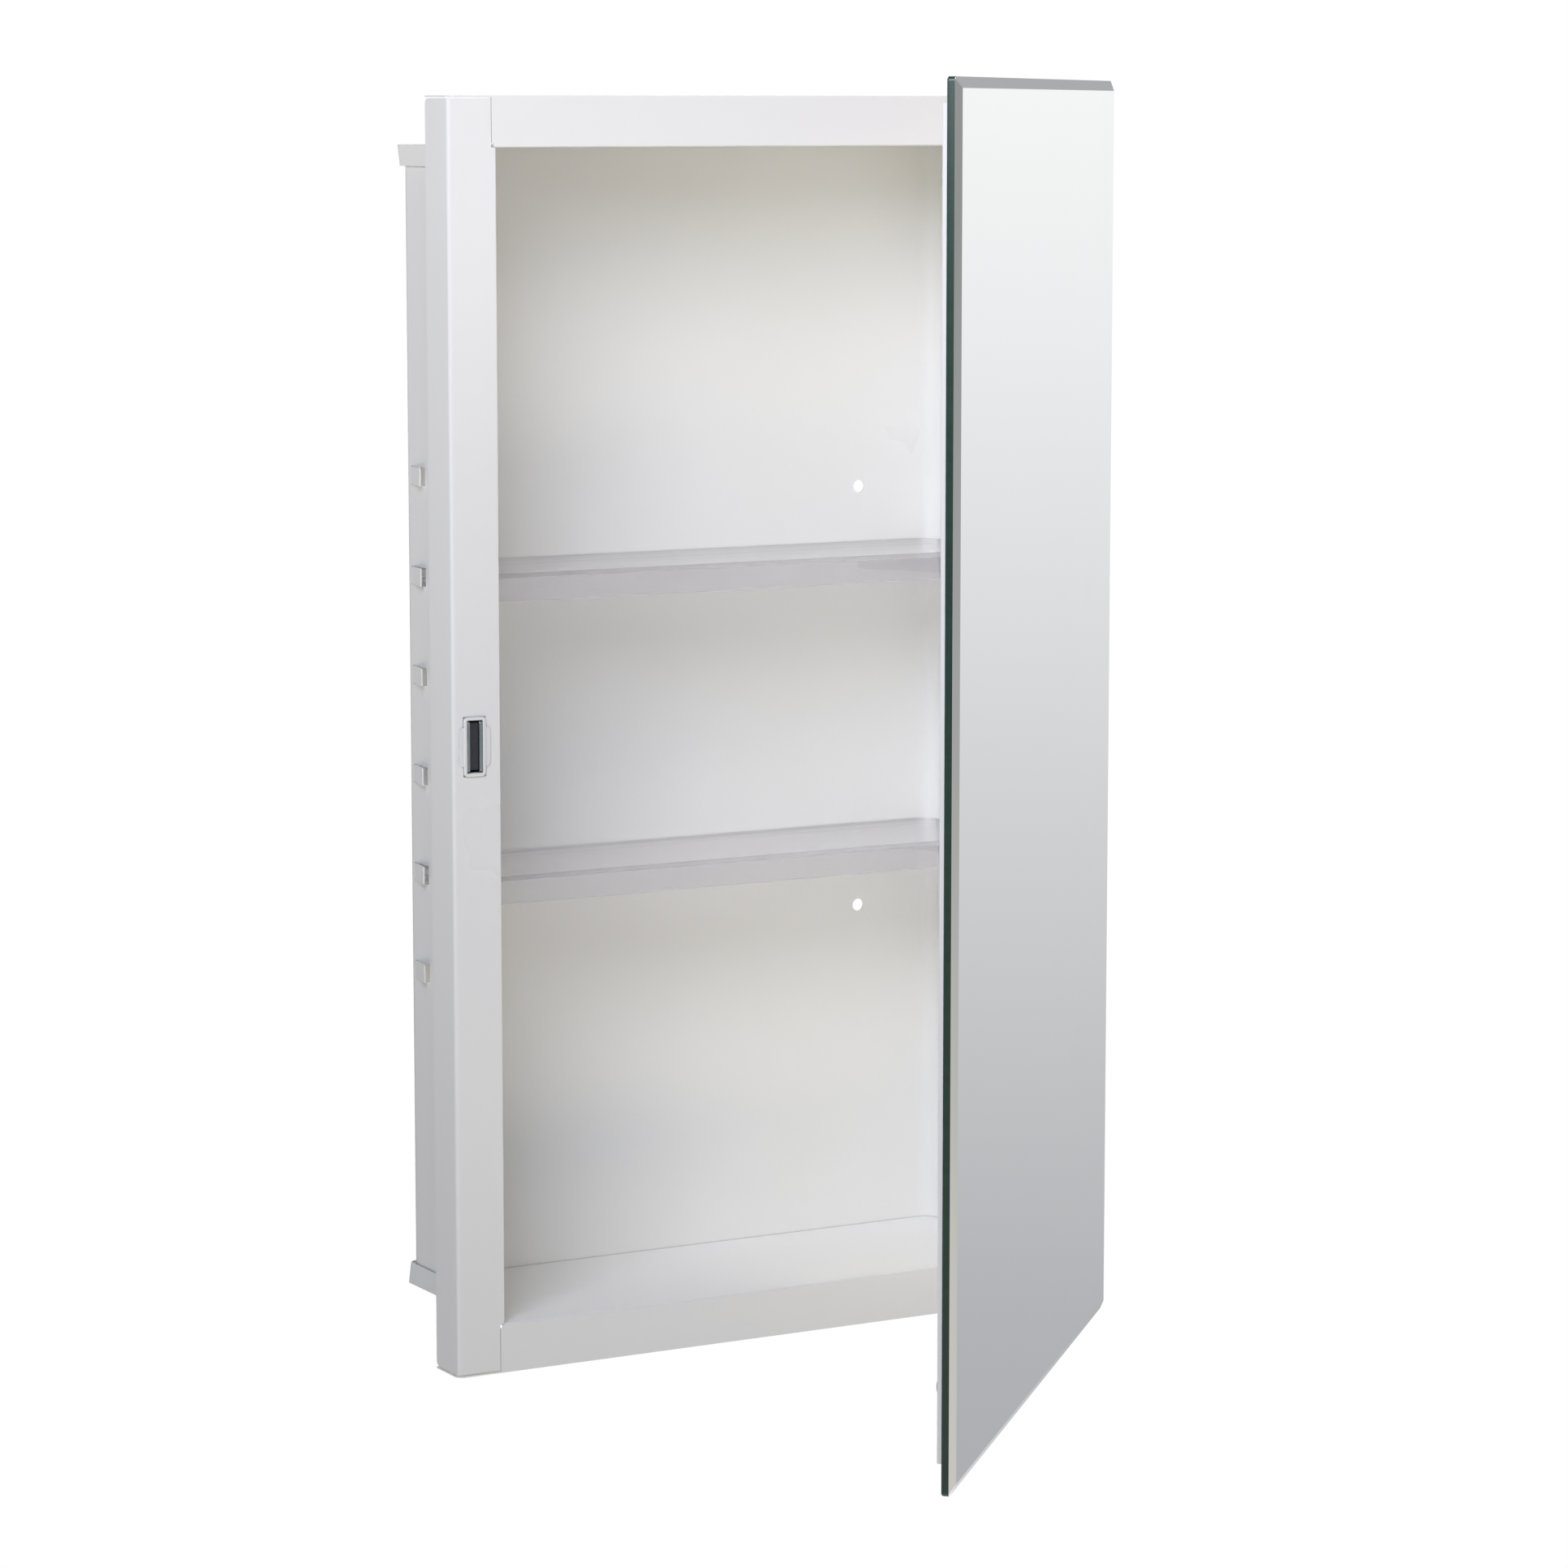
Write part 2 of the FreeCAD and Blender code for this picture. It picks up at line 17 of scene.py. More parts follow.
import bmesh
import bpy
import numpy as np
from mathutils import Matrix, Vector

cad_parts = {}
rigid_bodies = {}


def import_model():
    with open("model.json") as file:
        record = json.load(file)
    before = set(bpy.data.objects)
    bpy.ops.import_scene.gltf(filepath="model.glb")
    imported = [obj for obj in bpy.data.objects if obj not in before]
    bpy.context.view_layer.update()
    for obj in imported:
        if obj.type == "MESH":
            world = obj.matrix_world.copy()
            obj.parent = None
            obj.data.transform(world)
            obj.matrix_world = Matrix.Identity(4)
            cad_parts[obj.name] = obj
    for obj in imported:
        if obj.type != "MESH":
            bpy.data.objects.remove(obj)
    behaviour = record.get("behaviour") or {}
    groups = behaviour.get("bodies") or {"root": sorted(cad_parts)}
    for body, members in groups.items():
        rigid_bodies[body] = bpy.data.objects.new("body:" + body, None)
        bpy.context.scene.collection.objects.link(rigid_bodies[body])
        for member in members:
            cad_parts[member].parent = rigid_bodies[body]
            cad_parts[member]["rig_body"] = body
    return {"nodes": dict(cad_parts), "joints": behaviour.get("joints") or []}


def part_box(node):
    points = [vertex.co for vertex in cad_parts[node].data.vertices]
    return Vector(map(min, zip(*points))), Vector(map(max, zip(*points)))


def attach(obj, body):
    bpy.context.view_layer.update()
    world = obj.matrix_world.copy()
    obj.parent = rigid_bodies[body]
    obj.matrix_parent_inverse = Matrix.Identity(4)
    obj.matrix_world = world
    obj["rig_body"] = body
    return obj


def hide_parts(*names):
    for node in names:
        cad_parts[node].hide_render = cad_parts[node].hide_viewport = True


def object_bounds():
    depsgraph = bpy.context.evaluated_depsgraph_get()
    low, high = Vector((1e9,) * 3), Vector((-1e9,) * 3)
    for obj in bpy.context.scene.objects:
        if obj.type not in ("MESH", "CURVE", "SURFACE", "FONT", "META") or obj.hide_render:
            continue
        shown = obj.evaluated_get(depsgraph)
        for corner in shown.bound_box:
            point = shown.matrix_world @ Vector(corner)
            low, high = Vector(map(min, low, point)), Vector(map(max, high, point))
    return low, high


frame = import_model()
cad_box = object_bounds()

log = logging.getLogger("cabinet")
MM = 0.001
WELD_MM = 0.002  # points of a shell nearer than this become one
SMALLEST_RADIUS_MM = 0.03
SEAM_SAMPLES = 6  # rays that look for a close surface in a seam


# ---------------------------------------------------------------- names
class Body(str, Enum):
    """Bodies of the frame that a piece can ride on."""

    CABINET = "cabinet"
    DOOR = "door"
    MAGNET_UNIT = "magnet_unit"
    UPPER_SHELF = "upper_shelf"
    LOWER_SHELF = "lower_shelf"


class Slot(str, Enum):
    """Material slots of the record."""

    ENAMEL = "white_enamel"
    GLASS = "mirror_glass"
    FILM = "backing_film"
    TAPE = "foam_tape"
    STYRENE = "clear_styrene"
    CATCH = "catch_plastic"
    STEEL = "zinc_steel"
    FERRITE = "ferrite"
    BUMPER = "bumper"


class Facing(Enum):
    """Way that a piece faces: the axes across it, up it and out of it."""

    FRONT = ((1, 0, 0), (0, 0, 1), (0, -1, 0))
    REAR = ((-1, 0, 0), (0, 0, 1), (0, 1, 0))
    TOP = ((1, 0, 0), (0, 1, 0), (0, 0, 1))
    RIGHT = ((0, 1, 0), (0, 0, 1), (1, 0, 0))
    LEFT = ((0, -1, 0), (0, 0, 1), (-1, 0, 0))


# ---------------------------------------------------------------- outlines and profiles
class Outline(Protocol):
    """Closed line that can be moved inward and keeps its number of points."""

    def points(self, inset: float) -> np.ndarray:
        """Points of the line, moved inward by inset."""


@dataclass(frozen=True)
class RoundedRectangle:
    """Rectangle with rounded corners, about its own centre."""

    width: float
    height: float
    radii: tuple[float, float, float, float] = (1.0, 1.0, 1.0, 1.0)
    steps: int = 6
    sides: int = 1

    def points(self, inset: float) -> np.ndarray:
        """Points round the rectangle.

        Each corner is a quarter circle of radius r about (+-(w/2 - r), +-(h/2 - r)), and an inset
        shrinks both the rectangle and r. Sides are cut into equal lengths.

        Args:
            inset: distance that the line moves inward.

        Returns:
            An array of (across, up) points, anticlockwise from the right side.
        """
        radius = np.maximum(np.array(self.radii) - inset, SMALLEST_RADIUS_MM)[:, None]
        signs = np.array([[1, 1], [-1, 1], [-1, -1], [1, -1]])
        half = np.array([self.width, self.height]) / 2 - inset
        centres = signs * (half - radius)
        turn = np.arange(4)[:, None] * np.pi / 2 + np.linspace(0, np.pi / 2, self.steps + 1)
        ring = np.stack([np.cos(turn), np.sin(turn)], axis=-1)
        corners = centres[:, None, :] + radius[:, :, None] * ring
        if self.sides < 2:
            return corners.reshape(-1, 2)
        start, end = corners[:, -1], np.roll(corners[:, 0], -1, axis=0)
        share = np.arange(1, self.sides)[None, :, None] / self.sides
        between = start[:, None] + (end - start)[:, None] * share
        return np.concatenate([corners, between], axis=1).reshape(-1, 2)


@dataclass(frozen=True)
class Circle:
    """Circle about its own centre."""

    radius: float
    steps: int = 32

    def points(self, inset: float) -> np.ndarray:
        """Points of the circle of radius (r - inset), evenly spaced."""
        turn = np.linspace(0, 2 * np.pi, self.steps, endpoint=False)
        return np.stack([np.cos(turn), np.sin(turn)], axis=-1) * max(self.radius - inset, 0.02)


def filleted(corners: Sequence[tuple[float, float, float]], steps: int = 4) -> np.ndarray:
    """Line through corners, with its inner corners rounded.

    At a corner of radius r the arc touches both sides at r / tan(half angle) and its centre lies
    r / sin(half angle) along the line that halves the corner.

    Args:
        corners: (inset, height, radius) of each corner.
        steps: parts that each arc is cut into.

    Returns:
        An array of (inset, height) points.
    """
    points = np.array([corner[:2] for corner in corners], float)
    lines = [points[:1]]
    for before, here, after, corner in zip(points, points[1:], points[2:], corners[1:]):
        radius = corner[2]
        if radius <= 0:
            lines.append(here[None])
            continue
        back = (before - here) / np.linalg.norm(before - here)
        on = (after - here) / np.linalg.norm(after - here)
        half = math.acos(float(np.clip(back @ on, -1, 1))) / 2
        middle = (back + on) / np.linalg.norm(back + on)
        centre = here + middle * radius / math.sin(half)
        start = here + back * radius / math.tan(half) - centre
        end = here + on * radius / math.tan(half) - centre
        sweep = math.pi - 2 * half
        share = np.linspace(0, 1, steps + 1)[:, None]
        arc = (np.sin((1 - share) * sweep) * start + np.sin(share * sweep) * end) / math.sin(sweep)
        lines.append(centre + arc)
    lines.append(points[-1:])
    return np.concatenate(lines)


# ---------------------------------------------------------------- shells
@dataclass
class Shell:
    """Closed surface in millimetres, with the number of a finish for each face."""

    points: np.ndarray
    faces: list[list[int]]
    finishes: np.ndarray

    def moved(self, origin: Sequence[float], facing: Facing) -> Shell:
        """The same shell with its own axes laid along the facing's and its centre at origin."""
        place = np.array(facing.value, float)
        return Shell(self.points @ place + np.array(origin, float), self.faces, self.finishes)

    def turned(self, swing: Swing) -> Shell:
        """The same shell, swung with the door from closed to where it stands at rest."""
        return Shell(swing.to_rest(self.points), self.faces, self.finishes)


def joined(shells: Sequence[Shell]) -> Shell:
    """Several shells as one, each with its faces numbered after those before it.

    Args:
        shells: the shells to join.

    Returns:
        One shell with all their points, faces and finishes.
    """
    starts = np.cumsum([0] + [len(shell.points) for shell in shells])
    faces = [[i + int(s) for i in face] for shell, s in zip(shells, starts) for face in shell.faces]
    return Shell(
        np.concatenate([shell.points for shell in shells]),
        faces,
        np.concatenate([shell.finishes for shell in shells]),
    )


def stacked(outline: Outline, profile: np.ndarray, lift: np.ndarray | None = None) -> Shell:
    """Closed shell from an outline carried along a profile.

    The surface is S(u, v) = (outline(u) moved inward by inset(v), height(v)), with u round the
    outline and v along the profile. The first and last rings are closed by flat faces.

    Args:
        outline: the closed line.
        profile: (inset, height) of each ring.
        lift: heights for each ring and point, where they differ round the outline.

    Returns:
        The shell, with all its faces of the first finish.
    """
    flat = np.stack([outline.points(float(inset)) for inset in profile[:, 0]])
    rings, around = flat.shape[:2]
    heights = np.broadcast_to(profile[:, 1:2], (rings, around)) if lift is None else lift
    points = np.concatenate([flat, heights[..., None]], axis=-1).reshape(-1, 3)
    ring, step = np.arange(rings - 1)[:, None], np.arange(around)[None, :]
    on = (step + 1) % around
    low, high = ring * around, (ring + 1) * around
    quads = np.stack([low + step, low + on, high + on, high + step], axis=-1).reshape(-1, 4)
    caps = [list(range(around))[::-1], list(range((rings - 1) * around, rings * around))]
    faces = quads.tolist() + caps
    return Shell(points, faces, np.zeros(len(faces), int))


def make_piece(name: str, shell: Shell, finishes: Sequence[Finish], smooth_deg: float) -> Any:
    """Makes a Blender object from a shell, with its faces outward and its finishes on it.

    Args:
        name: name of the piece.
        shell: the surface in millimetres.
        finishes: one finish for each number that the shell uses.
        smooth_deg: edges that turn by more than this stay crisp.

    Returns:
        The object, at the origin.
    """
    mesh = bpy.data.meshes.new(name)
    mesh.from_pydata((shell.points * MM).tolist(), [], shell.faces)
    mesh.polygons.foreach_set("material_index", shell.finishes.astype(np.int32))
    work = bmesh.new()
    work.from_mesh(mesh)
    bmesh.ops.remove_doubles(work, verts=work.verts, dist=WELD_MM * MM)
    bmesh.ops.recalc_face_normals(work, faces=work.faces)
    work.to_mesh(mesh)
    work.free()
    for finish in finishes:
        mesh.materials.append(finish.material())
    mesh.polygons.foreach_set("use_smooth", np.ones(len(mesh.polygons), bool))
    mesh.set_sharp_from_angle(angle=math.radians(smooth_deg))
    piece = bpy.data.objects.new(name, mesh)
    bpy.context.scene.collection.objects.link(piece)
    return piece


def place_piece(piece: Any, body: Body, stands_for: Sequence[str] = ()) -> None:
    """Lets a piece ride on its body, and stands it in for CAD nodes.

    Args:
        piece: the Blender object.
        body: body of the frame that carries it.
        stands_for: CAD nodes that the piece replaces.
    """
    if stands_for:
        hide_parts(*stands_for)
    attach(piece, body.value)
    count = sum(len(face.vertices) - 2 for face in piece.data.polygons)
    log.info("%s rides on %s, %d triangles", piece.name, body.value, count)


def dress_node(node: str, finish: Finish) -> None:
    """Puts a finish on a CAD node, in every one of its material slots.

    Args:
        node: name of the CAD node, which keeps its shape and place.
        finish: the finish that it gets.
    """
    shown = frame["nodes"][node]
    for place in shown.material_slots:
        place.material = finish.material()
    log.info("%s keeps its CAD shape, finish %s", node, finish.name)


# ---------------------------------------------------------------- places from the frame
@dataclass(frozen=True)
class Extent:
    """Lowest and highest corner in millimetres."""

    low: np.ndarray
    high: np.ndarray

    @property
    def centre(self) -> np.ndarray:
        """Middle of the box."""
        return (self.low + self.high) / 2

    @property
    def size(self) -> np.ndarray:
        """Lengths of the box's sides."""
        return self.high - self.low


def extent_of(node: str) -> Extent:
    """Box of a CAD node at rest, in millimetres."""
    low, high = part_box(node)
    return Extent(np.array(low) / MM, np.array(high) / MM)


@dataclass(frozen=True)
class Swing:
    """The door's hinge: its axis in plan, and how far the door stands open at rest."""

    pivot: np.ndarray
    open_deg: float

    @classmethod
    def from_frame(cls, name: str) -> Swing:
        """Reads the joint of that name, whose lower limit is the closed door."""
        joint = next(j for j in frame["joints"] if j["name"] == name)
        return cls(np.array(joint["pos_m"]) / MM, -float(joint["range_deg"][0]))

    def _turn(self, points: np.ndarray, degrees: float) -> np.ndarray:
        """Points turned about the upright axis through the pivot: p' = R (p - c) + c.

        Args:
            points: rows of x, y and z in millimetres.
            degrees: angle, anticlockwise from above.

        Returns:
            The turned points.
        """
        c, s = math.cos(math.radians(degrees)), math.sin(math.radians(degrees))
        matrix = np.array([[c, s, 0], [-s, c, 0], [0, 0, 1]])
        return (points - self.pivot) @ matrix + self.pivot

    def to_rest(self, points: np.ndarray) -> np.ndarray:
        """Points of the closed door, where they are at rest."""
        return self._turn(points, self.open_deg)

    def closed_extent(self, node: str) -> Extent:
        """Box of a CAD node of the door, with the door closed.

        Args:
            node: name of the node.

        Returns:
            Its lowest and highest corner.
        """
        mesh = frame["nodes"][node].data
        flat = np.zeros(len(mesh.vertices) * 3, np.float32)
        mesh.vertices.foreach_get("co", flat)
        closed = self._turn(flat.reshape(-1, 3).astype(float) / MM, -self.open_deg)
        return Extent(closed.min(0), closed.max(0))


# ---------------------------------------------------------------- finishes
def linear(colour: str, alpha: float = 1.0) -> tuple[float, float, float, float]:
    """Linear colour of an sRGB hex value such as #F2F2F0.

    Each channel c becomes c / 12.92 up to 0.04045 and ((c + 0.055) / 1.055) ** 2.4 above it.

    Args:
        colour: the hex value.
        alpha: the fourth channel.

    Returns:
        Red, green, blue and alpha.
    """
    channels = np.array([int(colour[i : i + 2], 16) for i in (1, 3, 5)]) / 255
    curved = np.where(channels <= 0.04045, channels / 12.92, ((channels + 0.055) / 1.055) ** 2.4)
    return (*(float(c) for c in curved), alpha)


def per_mm(size: float) -> float:
    """Texture scale at which one cell of a pattern is that many millimetres across."""
    return 1.0 / (size * MM)


def add_node(
    tree: Any,
    kind: str,
    settings: Mapping[str, Any] | None = None,
    inputs: Mapping[Any, Any] | None = None,
) -> Any:
    """Adds a node with its settings and links.

    Args:
        tree: the node tree.
        kind: the node's type.
        settings: values of the node's own properties.
        inputs: for each input socket a number, a colour or the output socket to link it to.

    Returns:
        The node.
    """
    node = tree.nodes.new(kind)
    for name, value in (settings or {}).items():
        setattr(node, name, value)
    for name, value in (inputs or {}).items():
        if isinstance(value, bpy.types.NodeSocket):
            tree.links.new(value, node.inputs[name])
        else:
            node.inputs[name].default_value = value
    return node


@dataclass(frozen=True)
class Finish:
    """A surface: its name, and the settings of its shader that are the same all over it."""

    name: str
    colour: str
    roughness: float
    ior: float = 1.5
    metallic: float = 0.0

    def constants(self) -> dict[str, Any]:
        """Values that go straight onto the shader's own sockets.

        Returns:
            A value for each socket, by the socket's name.
        """
        return {
            "Base Color": linear(self.colour),
            "Roughness": self.roughness,
            "IOR": self.ior,
            "Metallic": self.metallic,
        }

    def pattern(self, tree: Any, where: Any) -> dict[str, Any]:
        """Sockets that a pattern drives, by the name of the shader's input.

        Args:
            tree: node tree of the material; not used by a plain finish.
            where: socket with the object's own coordinates; not used by a plain finish.

        Returns:
            Nothing here, since a plain finish has no pattern.
        """
        return {}

    def material(self) -> Any:
        """The Blender material, made once.

        Returns:
            The material, with its nodes set.
        """
        if self.name in bpy.data.materials:
            return bpy.data.materials[self.name]
        made = bpy.data.materials.new(self.name)
        made.use_nodes = True
        tree = made.node_tree
        tree.nodes.clear()
        where = add_node(tree, "ShaderNodeTexCoord").outputs["Object"]
        sockets = {**self.constants(), **self.pattern(tree, where)}
        shader = add_node(tree, "ShaderNodeBsdfPrincipled", inputs=sockets)
        add_node(tree, "ShaderNodeOutputMaterial", inputs={"Surface": shader.outputs["BSDF"]})
        return made


def paint_crevice_shade(tree: Any, colour: Any, reach_mm: float, shade: float) -> Any:
    """Paints shade into a colour where two surfaces meet closely: a painted shadow in seams and
    crevices.

    Args:
        tree: node tree of the material.
        colour: linear colour, or the socket that carries it.
        reach_mm: distance within which another surface counts as close.
        shade: how much of the colour is left at the bottom of a seam.

    Returns:
        The socket with the colour darkened by painted shade.
    """
    # ambient occlusion finds the close surfaces that drive the painted shade
    seam = add_node(
        tree,
        "ShaderNodeAmbientOcclusion",
        {"samples": SEAM_SAMPLES},
        {"Distance": reach_mm * MM},
    )
    light = add_node(
        tree,
        "ShaderNodeMapRange",
        inputs={
            "Value": seam.outputs["AO"],
            "From Min": 0.25,
            "From Max": 0.75,
            "To Min": shade,
            "To Max": 1.0,
        },
    )
    dark = add_node(
        tree,
        "ShaderNodeMix",
        {"data_type": "RGBA", "blend_type": "MULTIPLY"},
        {0: 1.0, 6: colour, 7: light.outputs["Result"]},
    )
    return dark.outputs[2]


@dataclass(frozen=True)
class BakedEnamel(Finish):
    """White enamel, sprayed on steel sheet and baked: a soft gloss with a faint orange peel."""

    drift: str = "#EEEEEC"
    drift_mm: float = 90.0
    peel_mm: float = 2.2
    peel_depth_mm: float = 0.010
    # the next two set how far the painted shade in seams reaches and how dark it gets
    shade_reach_mm: float = 1.6
    seam_shade: float = 0.45

    def pattern(self, tree: Any, where: Any) -> dict[str, Any]:
        """Slow change of white and gloss over the sheet, painted shade in seams and crevices, and
        the peel as a bump.

        Args:
            tree: node tree of the material.
            where: socket with the object's own coordinates.

        Returns:
            Sockets for the colour, the roughness and the normal.
        """
        slow = add_node(
            tree,
            "ShaderNodeTexNoise",
            inputs={"Vector": where, "Scale": per_mm(self.drift_mm), "Detail": 3.0},
        )
        white = add_node(
            tree,
            "ShaderNodeMix",
            {"data_type": "RGBA"},
            {0: slow.outputs["Fac"], 6: linear(self.colour), 7: linear(self.drift)},
        )
        gloss = add_node(
            tree,
            "ShaderNodeMapRange",
            inputs={
                "Value": slow.outputs["Fac"],
                "From Min": 0.3,
                "From Max": 0.7,
                "To Min": self.roughness - 0.03,
                "To Max": self.roughness + 0.04,
            },
        )
        peel = add_node(
            tree,
            "ShaderNodeTexNoise",
            inputs={"Vector": where, "Scale": per_mm(self.peel_mm), "Detail": 1.0},
        )
        bump = add_node(
            tree,
            "ShaderNodeBump",
            inputs={
                "Strength": 0.35,
                "Distance": self.peel_depth_mm * MM,
                "Height": peel.outputs["Fac"],
            },
        )
        return {
            # the white, with painted shade in its seams and crevices
            "Base Color": paint_crevice_shade(tree, white.outputs[2], self.shade_reach_mm, self.seam_shade),
            "Roughness": gloss.outputs["Result"],
            "Normal": bump.outputs["Normal"],
        }


@dataclass(frozen=True)
class SilveredGlass(Finish):
    """Float glass silvered behind: silver gives back nearly all light, under a hard glass face."""

    wipe_mm: float = 70.0
    wipe_roughness: float = 0.012

    def constants(self) -> dict[str, Any]:
        """The face of the glass is a clear coat with the glass's own IOR; a metal keeps its IOR."""
        return {**super().constants(), "Coat Weight": 1.0, "Coat IOR": 1.52,
                "Coat Roughness": 0.0}

    def pattern(self, tree: Any, where: Any) -> dict[str, Any]:
        """Traces of wiping, which dull the reflection very slightly in broad patches.

        Args:
            tree: node tree of the material.
            where: socket with the object's own coordinates.

        Returns:
            The socket for the roughness.
        """
        wipes = add_node(
            tree,
            "ShaderNodeTexNoise",
            inputs={"Vector": where, "Scale": per_mm(self.wipe_mm), "Detail": 3.0},
        )
        dull = add_node(
            tree,
            "ShaderNodeMapRange",
            inputs={
                "Value": wipes.outputs["Fac"],
                "From Min": 0.35,
                "From Max": 0.75,
                "To Min": self.roughness,
                "To Max": self.roughness + self.wipe_roughness,
            },
        )
        return {"Roughness": dull.outputs["Result"]}


@dataclass(frozen=True)
class GroundEdge(Finish):
    """Seamed edge of the plate: light piped through the glass makes it look dark bottle green."""

    shade: str = "#0E231E"
    chip_mm: float = 5.0

    def constants(self) -> dict[str, Any]:
        """A wet-looking coat over the green."""
        return {**super().constants(), "Coat Weight": 0.25, "Coat Roughness": 0.10}

    def pattern(self, tree: Any, where: Any) -> dict[str, Any]:
        """Green that comes and goes along the edge, drawn out across the plate.

        Args:
            tree: node tree of the material.
            where: socket with the object's own coordinates.

        Returns:
            The socket for the colour.
        """
        stretched = add_node(
            tree, "ShaderNodeMapping", inputs={"Vector": where, "Scale": (0.5, 0.5, 1.0)}
        )
        grind = add_node(
            tree,
            "ShaderNodeTexNoise",
            inputs={"Vector": stretched.outputs["Vector"], "Scale": per_mm(self.chip_mm),
                    "Detail": 4.0},
        )
        green = add_node(
            tree,
            "ShaderNodeMix",
            {"data_type": "RGBA"},
            {0: grind.outputs["Fac"], 6: linear(self.colour), 7: linear(self.shade)},
        )
        return {"Base Color": green.outputs[2]}


@dataclass(frozen=True)
class ClearStyrene(Finish):
    """Moulded clear polystyrene: see-through with a cool lavender cast and soft flow marks."""

    flow_mm: float = 26.0
    flow_depth_mm: float = 0.02
    clearness: float = 0.93
    body: float = 0.70  # below 1, so that some light passes straight on to the wall behind

    def constants(self) -> dict[str, Any]:
        """Mostly see-through, the rest a faint milkiness."""
        clear = {"Transmission Weight": self.clearness, "Alpha": self.body}
        return {**super().constants(), **clear}

    def pattern(self, tree: Any, where: Any) -> dict[str, Any]:
        """Long shallow flow marks from the mould, as a bump.

        Args:
            tree: node tree of the material.
            where: socket with the object's own coordinates.

        Returns:
            The socket for the normal.
        """
        flow = add_node(
            tree,
            "ShaderNodeTexNoise",
            inputs={"Vector": where, "Scale": per_mm(self.flow_mm), "Detail": 1.0},
        )
        bump = add_node(
            tree,
            "ShaderNodeBump",
            inputs={
                "Strength": 0.25,
                "Distance": self.flow_depth_mm * MM,
                "Height": flow.outputs["Fac"],
            },
        )
        return {"Normal": bump.outputs["Normal"]}


@dataclass(frozen=True)
class MouldedPlastic(Finish):
    """Moulded plastic with a fine spark texture: a dull sheen that softens every highlight."""

    grain_mm: float = 0.5
    grain_depth_mm: float = 0.01
    # the next two set the painted shade in seams, as round the catch's lobes
    shade_reach_mm: float = 2.0
    seam_shade: float = 0.35

    def pattern(self, tree: Any, where: Any) -> dict[str, Any]:
        """Spark texture as a bump, and painted shade in seams; its grain is drawn coarser than the
        real 0.1 mm to show.

        Args:
            tree: node tree of the material.
            where: socket with the object's own coordinates.

        Returns:
            Sockets for the colour and the normal.
        """
        grain = add_node(
            tree,
            "ShaderNodeTexNoise",
            inputs={"Vector": where, "Scale": per_mm(self.grain_mm), "Detail": 2.0},
        )
        bump = add_node(
            tree,
            "ShaderNodeBump",
            inputs={
                "Strength": 0.4,
                "Distance": self.grain_depth_mm * MM,
                "Height": grain.outputs["Fac"],
            },
        )
        # the white, darkened by painted shade where another surface is close
        white = paint_crevice_shade(tree, linear(self.colour), self.shade_reach_mm, self.seam_shade)
        return {"Base Color": white, "Normal": bump.outputs["Normal"]}


@dataclass(frozen=True)
class ClearBumper(MouldedPlastic):
    """Soft clear polyurethane dome: glassy, with a slightly cloudy body."""

    def constants(self) -> dict[str, Any]:
        """Lets most light through."""
        return {**super().constants(), "Transmission Weight": 0.85}


@dataclass(frozen=True)
class ZincSteel(Finish):
    """Bright zinc-plated steel, rolled and passivated: blue-grey with long fine rolling marks."""

    shade: str = "#8FA0A4"
    mark_mm: float = 0.6

    def pattern(self, tree: Any, where: Any) -> dict[str, Any]:
        """Rolling marks drawn out along the height, in the colour and in the gloss.

        Args:
            tree: node tree of the material.
            where: socket with the object's own coordinates.

        Returns:
            Sockets for the colour and the roughness.
        """
        rolled = add_node(
            tree, "ShaderNodeMapping", inputs={"Vector": where, "Scale": (1.0, 1.0, 0.04)}
        )
        marks = add_node(
            tree,
            "ShaderNodeTexNoise",
            inputs={"Vector": rolled.outputs["Vector"], "Scale": per_mm(self.mark_mm),
                    "Detail": 3.0},
        )
        tone = add_node(
            tree,
            "ShaderNodeMix",
            {"data_type": "RGBA"},
            {0: marks.outputs["Fac"], 6: linear(self.colour), 7: linear(self.shade)},
        )
        gloss = add_node(
            tree,
            "ShaderNodeMapRange",
            inputs={
                "Value": marks.outputs["Fac"],
                "To Min": self.roughness - 0.08,
                "To Max": self.roughness + 0.10,
            },
        )
        return {"Base Color": tone.outputs[2], "Roughness": gloss.outputs["Result"]}


@dataclass(frozen=True)
class SpeckledSolid(Finish):
    """Dull dark or pale body whose colour is broken by a fine grain, such as ferrite or foam."""

    shade: str = "#202024"
    grain_mm: float = 0.8
    grain_depth_mm: float = 0.03

    def pattern(self, tree: Any, where: Any) -> dict[str, Any]:
        """Cells of the grain in the colour and as a bump.

        Args:
            tree: node tree of the material.
            where: socket with the object's own coordinates.

        Returns:
            Sockets for the colour and the normal.
        """
        cells = add_node(
            tree, "ShaderNodeTexVoronoi", inputs={"Vector": where, "Scale": per_mm(self.grain_mm)}
        )
        tone = add_node(
            tree,
            "ShaderNodeMix",
            {"data_type": "RGBA"},
            {0: cells.outputs["Distance"], 6: linear(self.colour), 7: linear(self.shade)},
        )
        bump = add_node(
            tree,
            "ShaderNodeBump",
            inputs={
                "Strength": 0.5,
                "Distance": self.grain_depth_mm * MM,
                "Height": cells.outputs["Distance"],
            },
        )
        return {"Base Color": tone.outputs[2], "Normal": bump.outputs["Normal"]}


@dataclass(frozen=True)
class LitFloor(SpeckledSolid):
    """Matt floor that is lit on its own, so that it stays as pale as the backdrop."""

    glow: float = 0.70

    def constants(self) -> dict[str, Any]:
        """Adds the glow of the floor's own light."""
        glow = {"Emission Color": linear(self.colour), "Emission Strength": self.glow}
        return {**super().constants(), **glow}


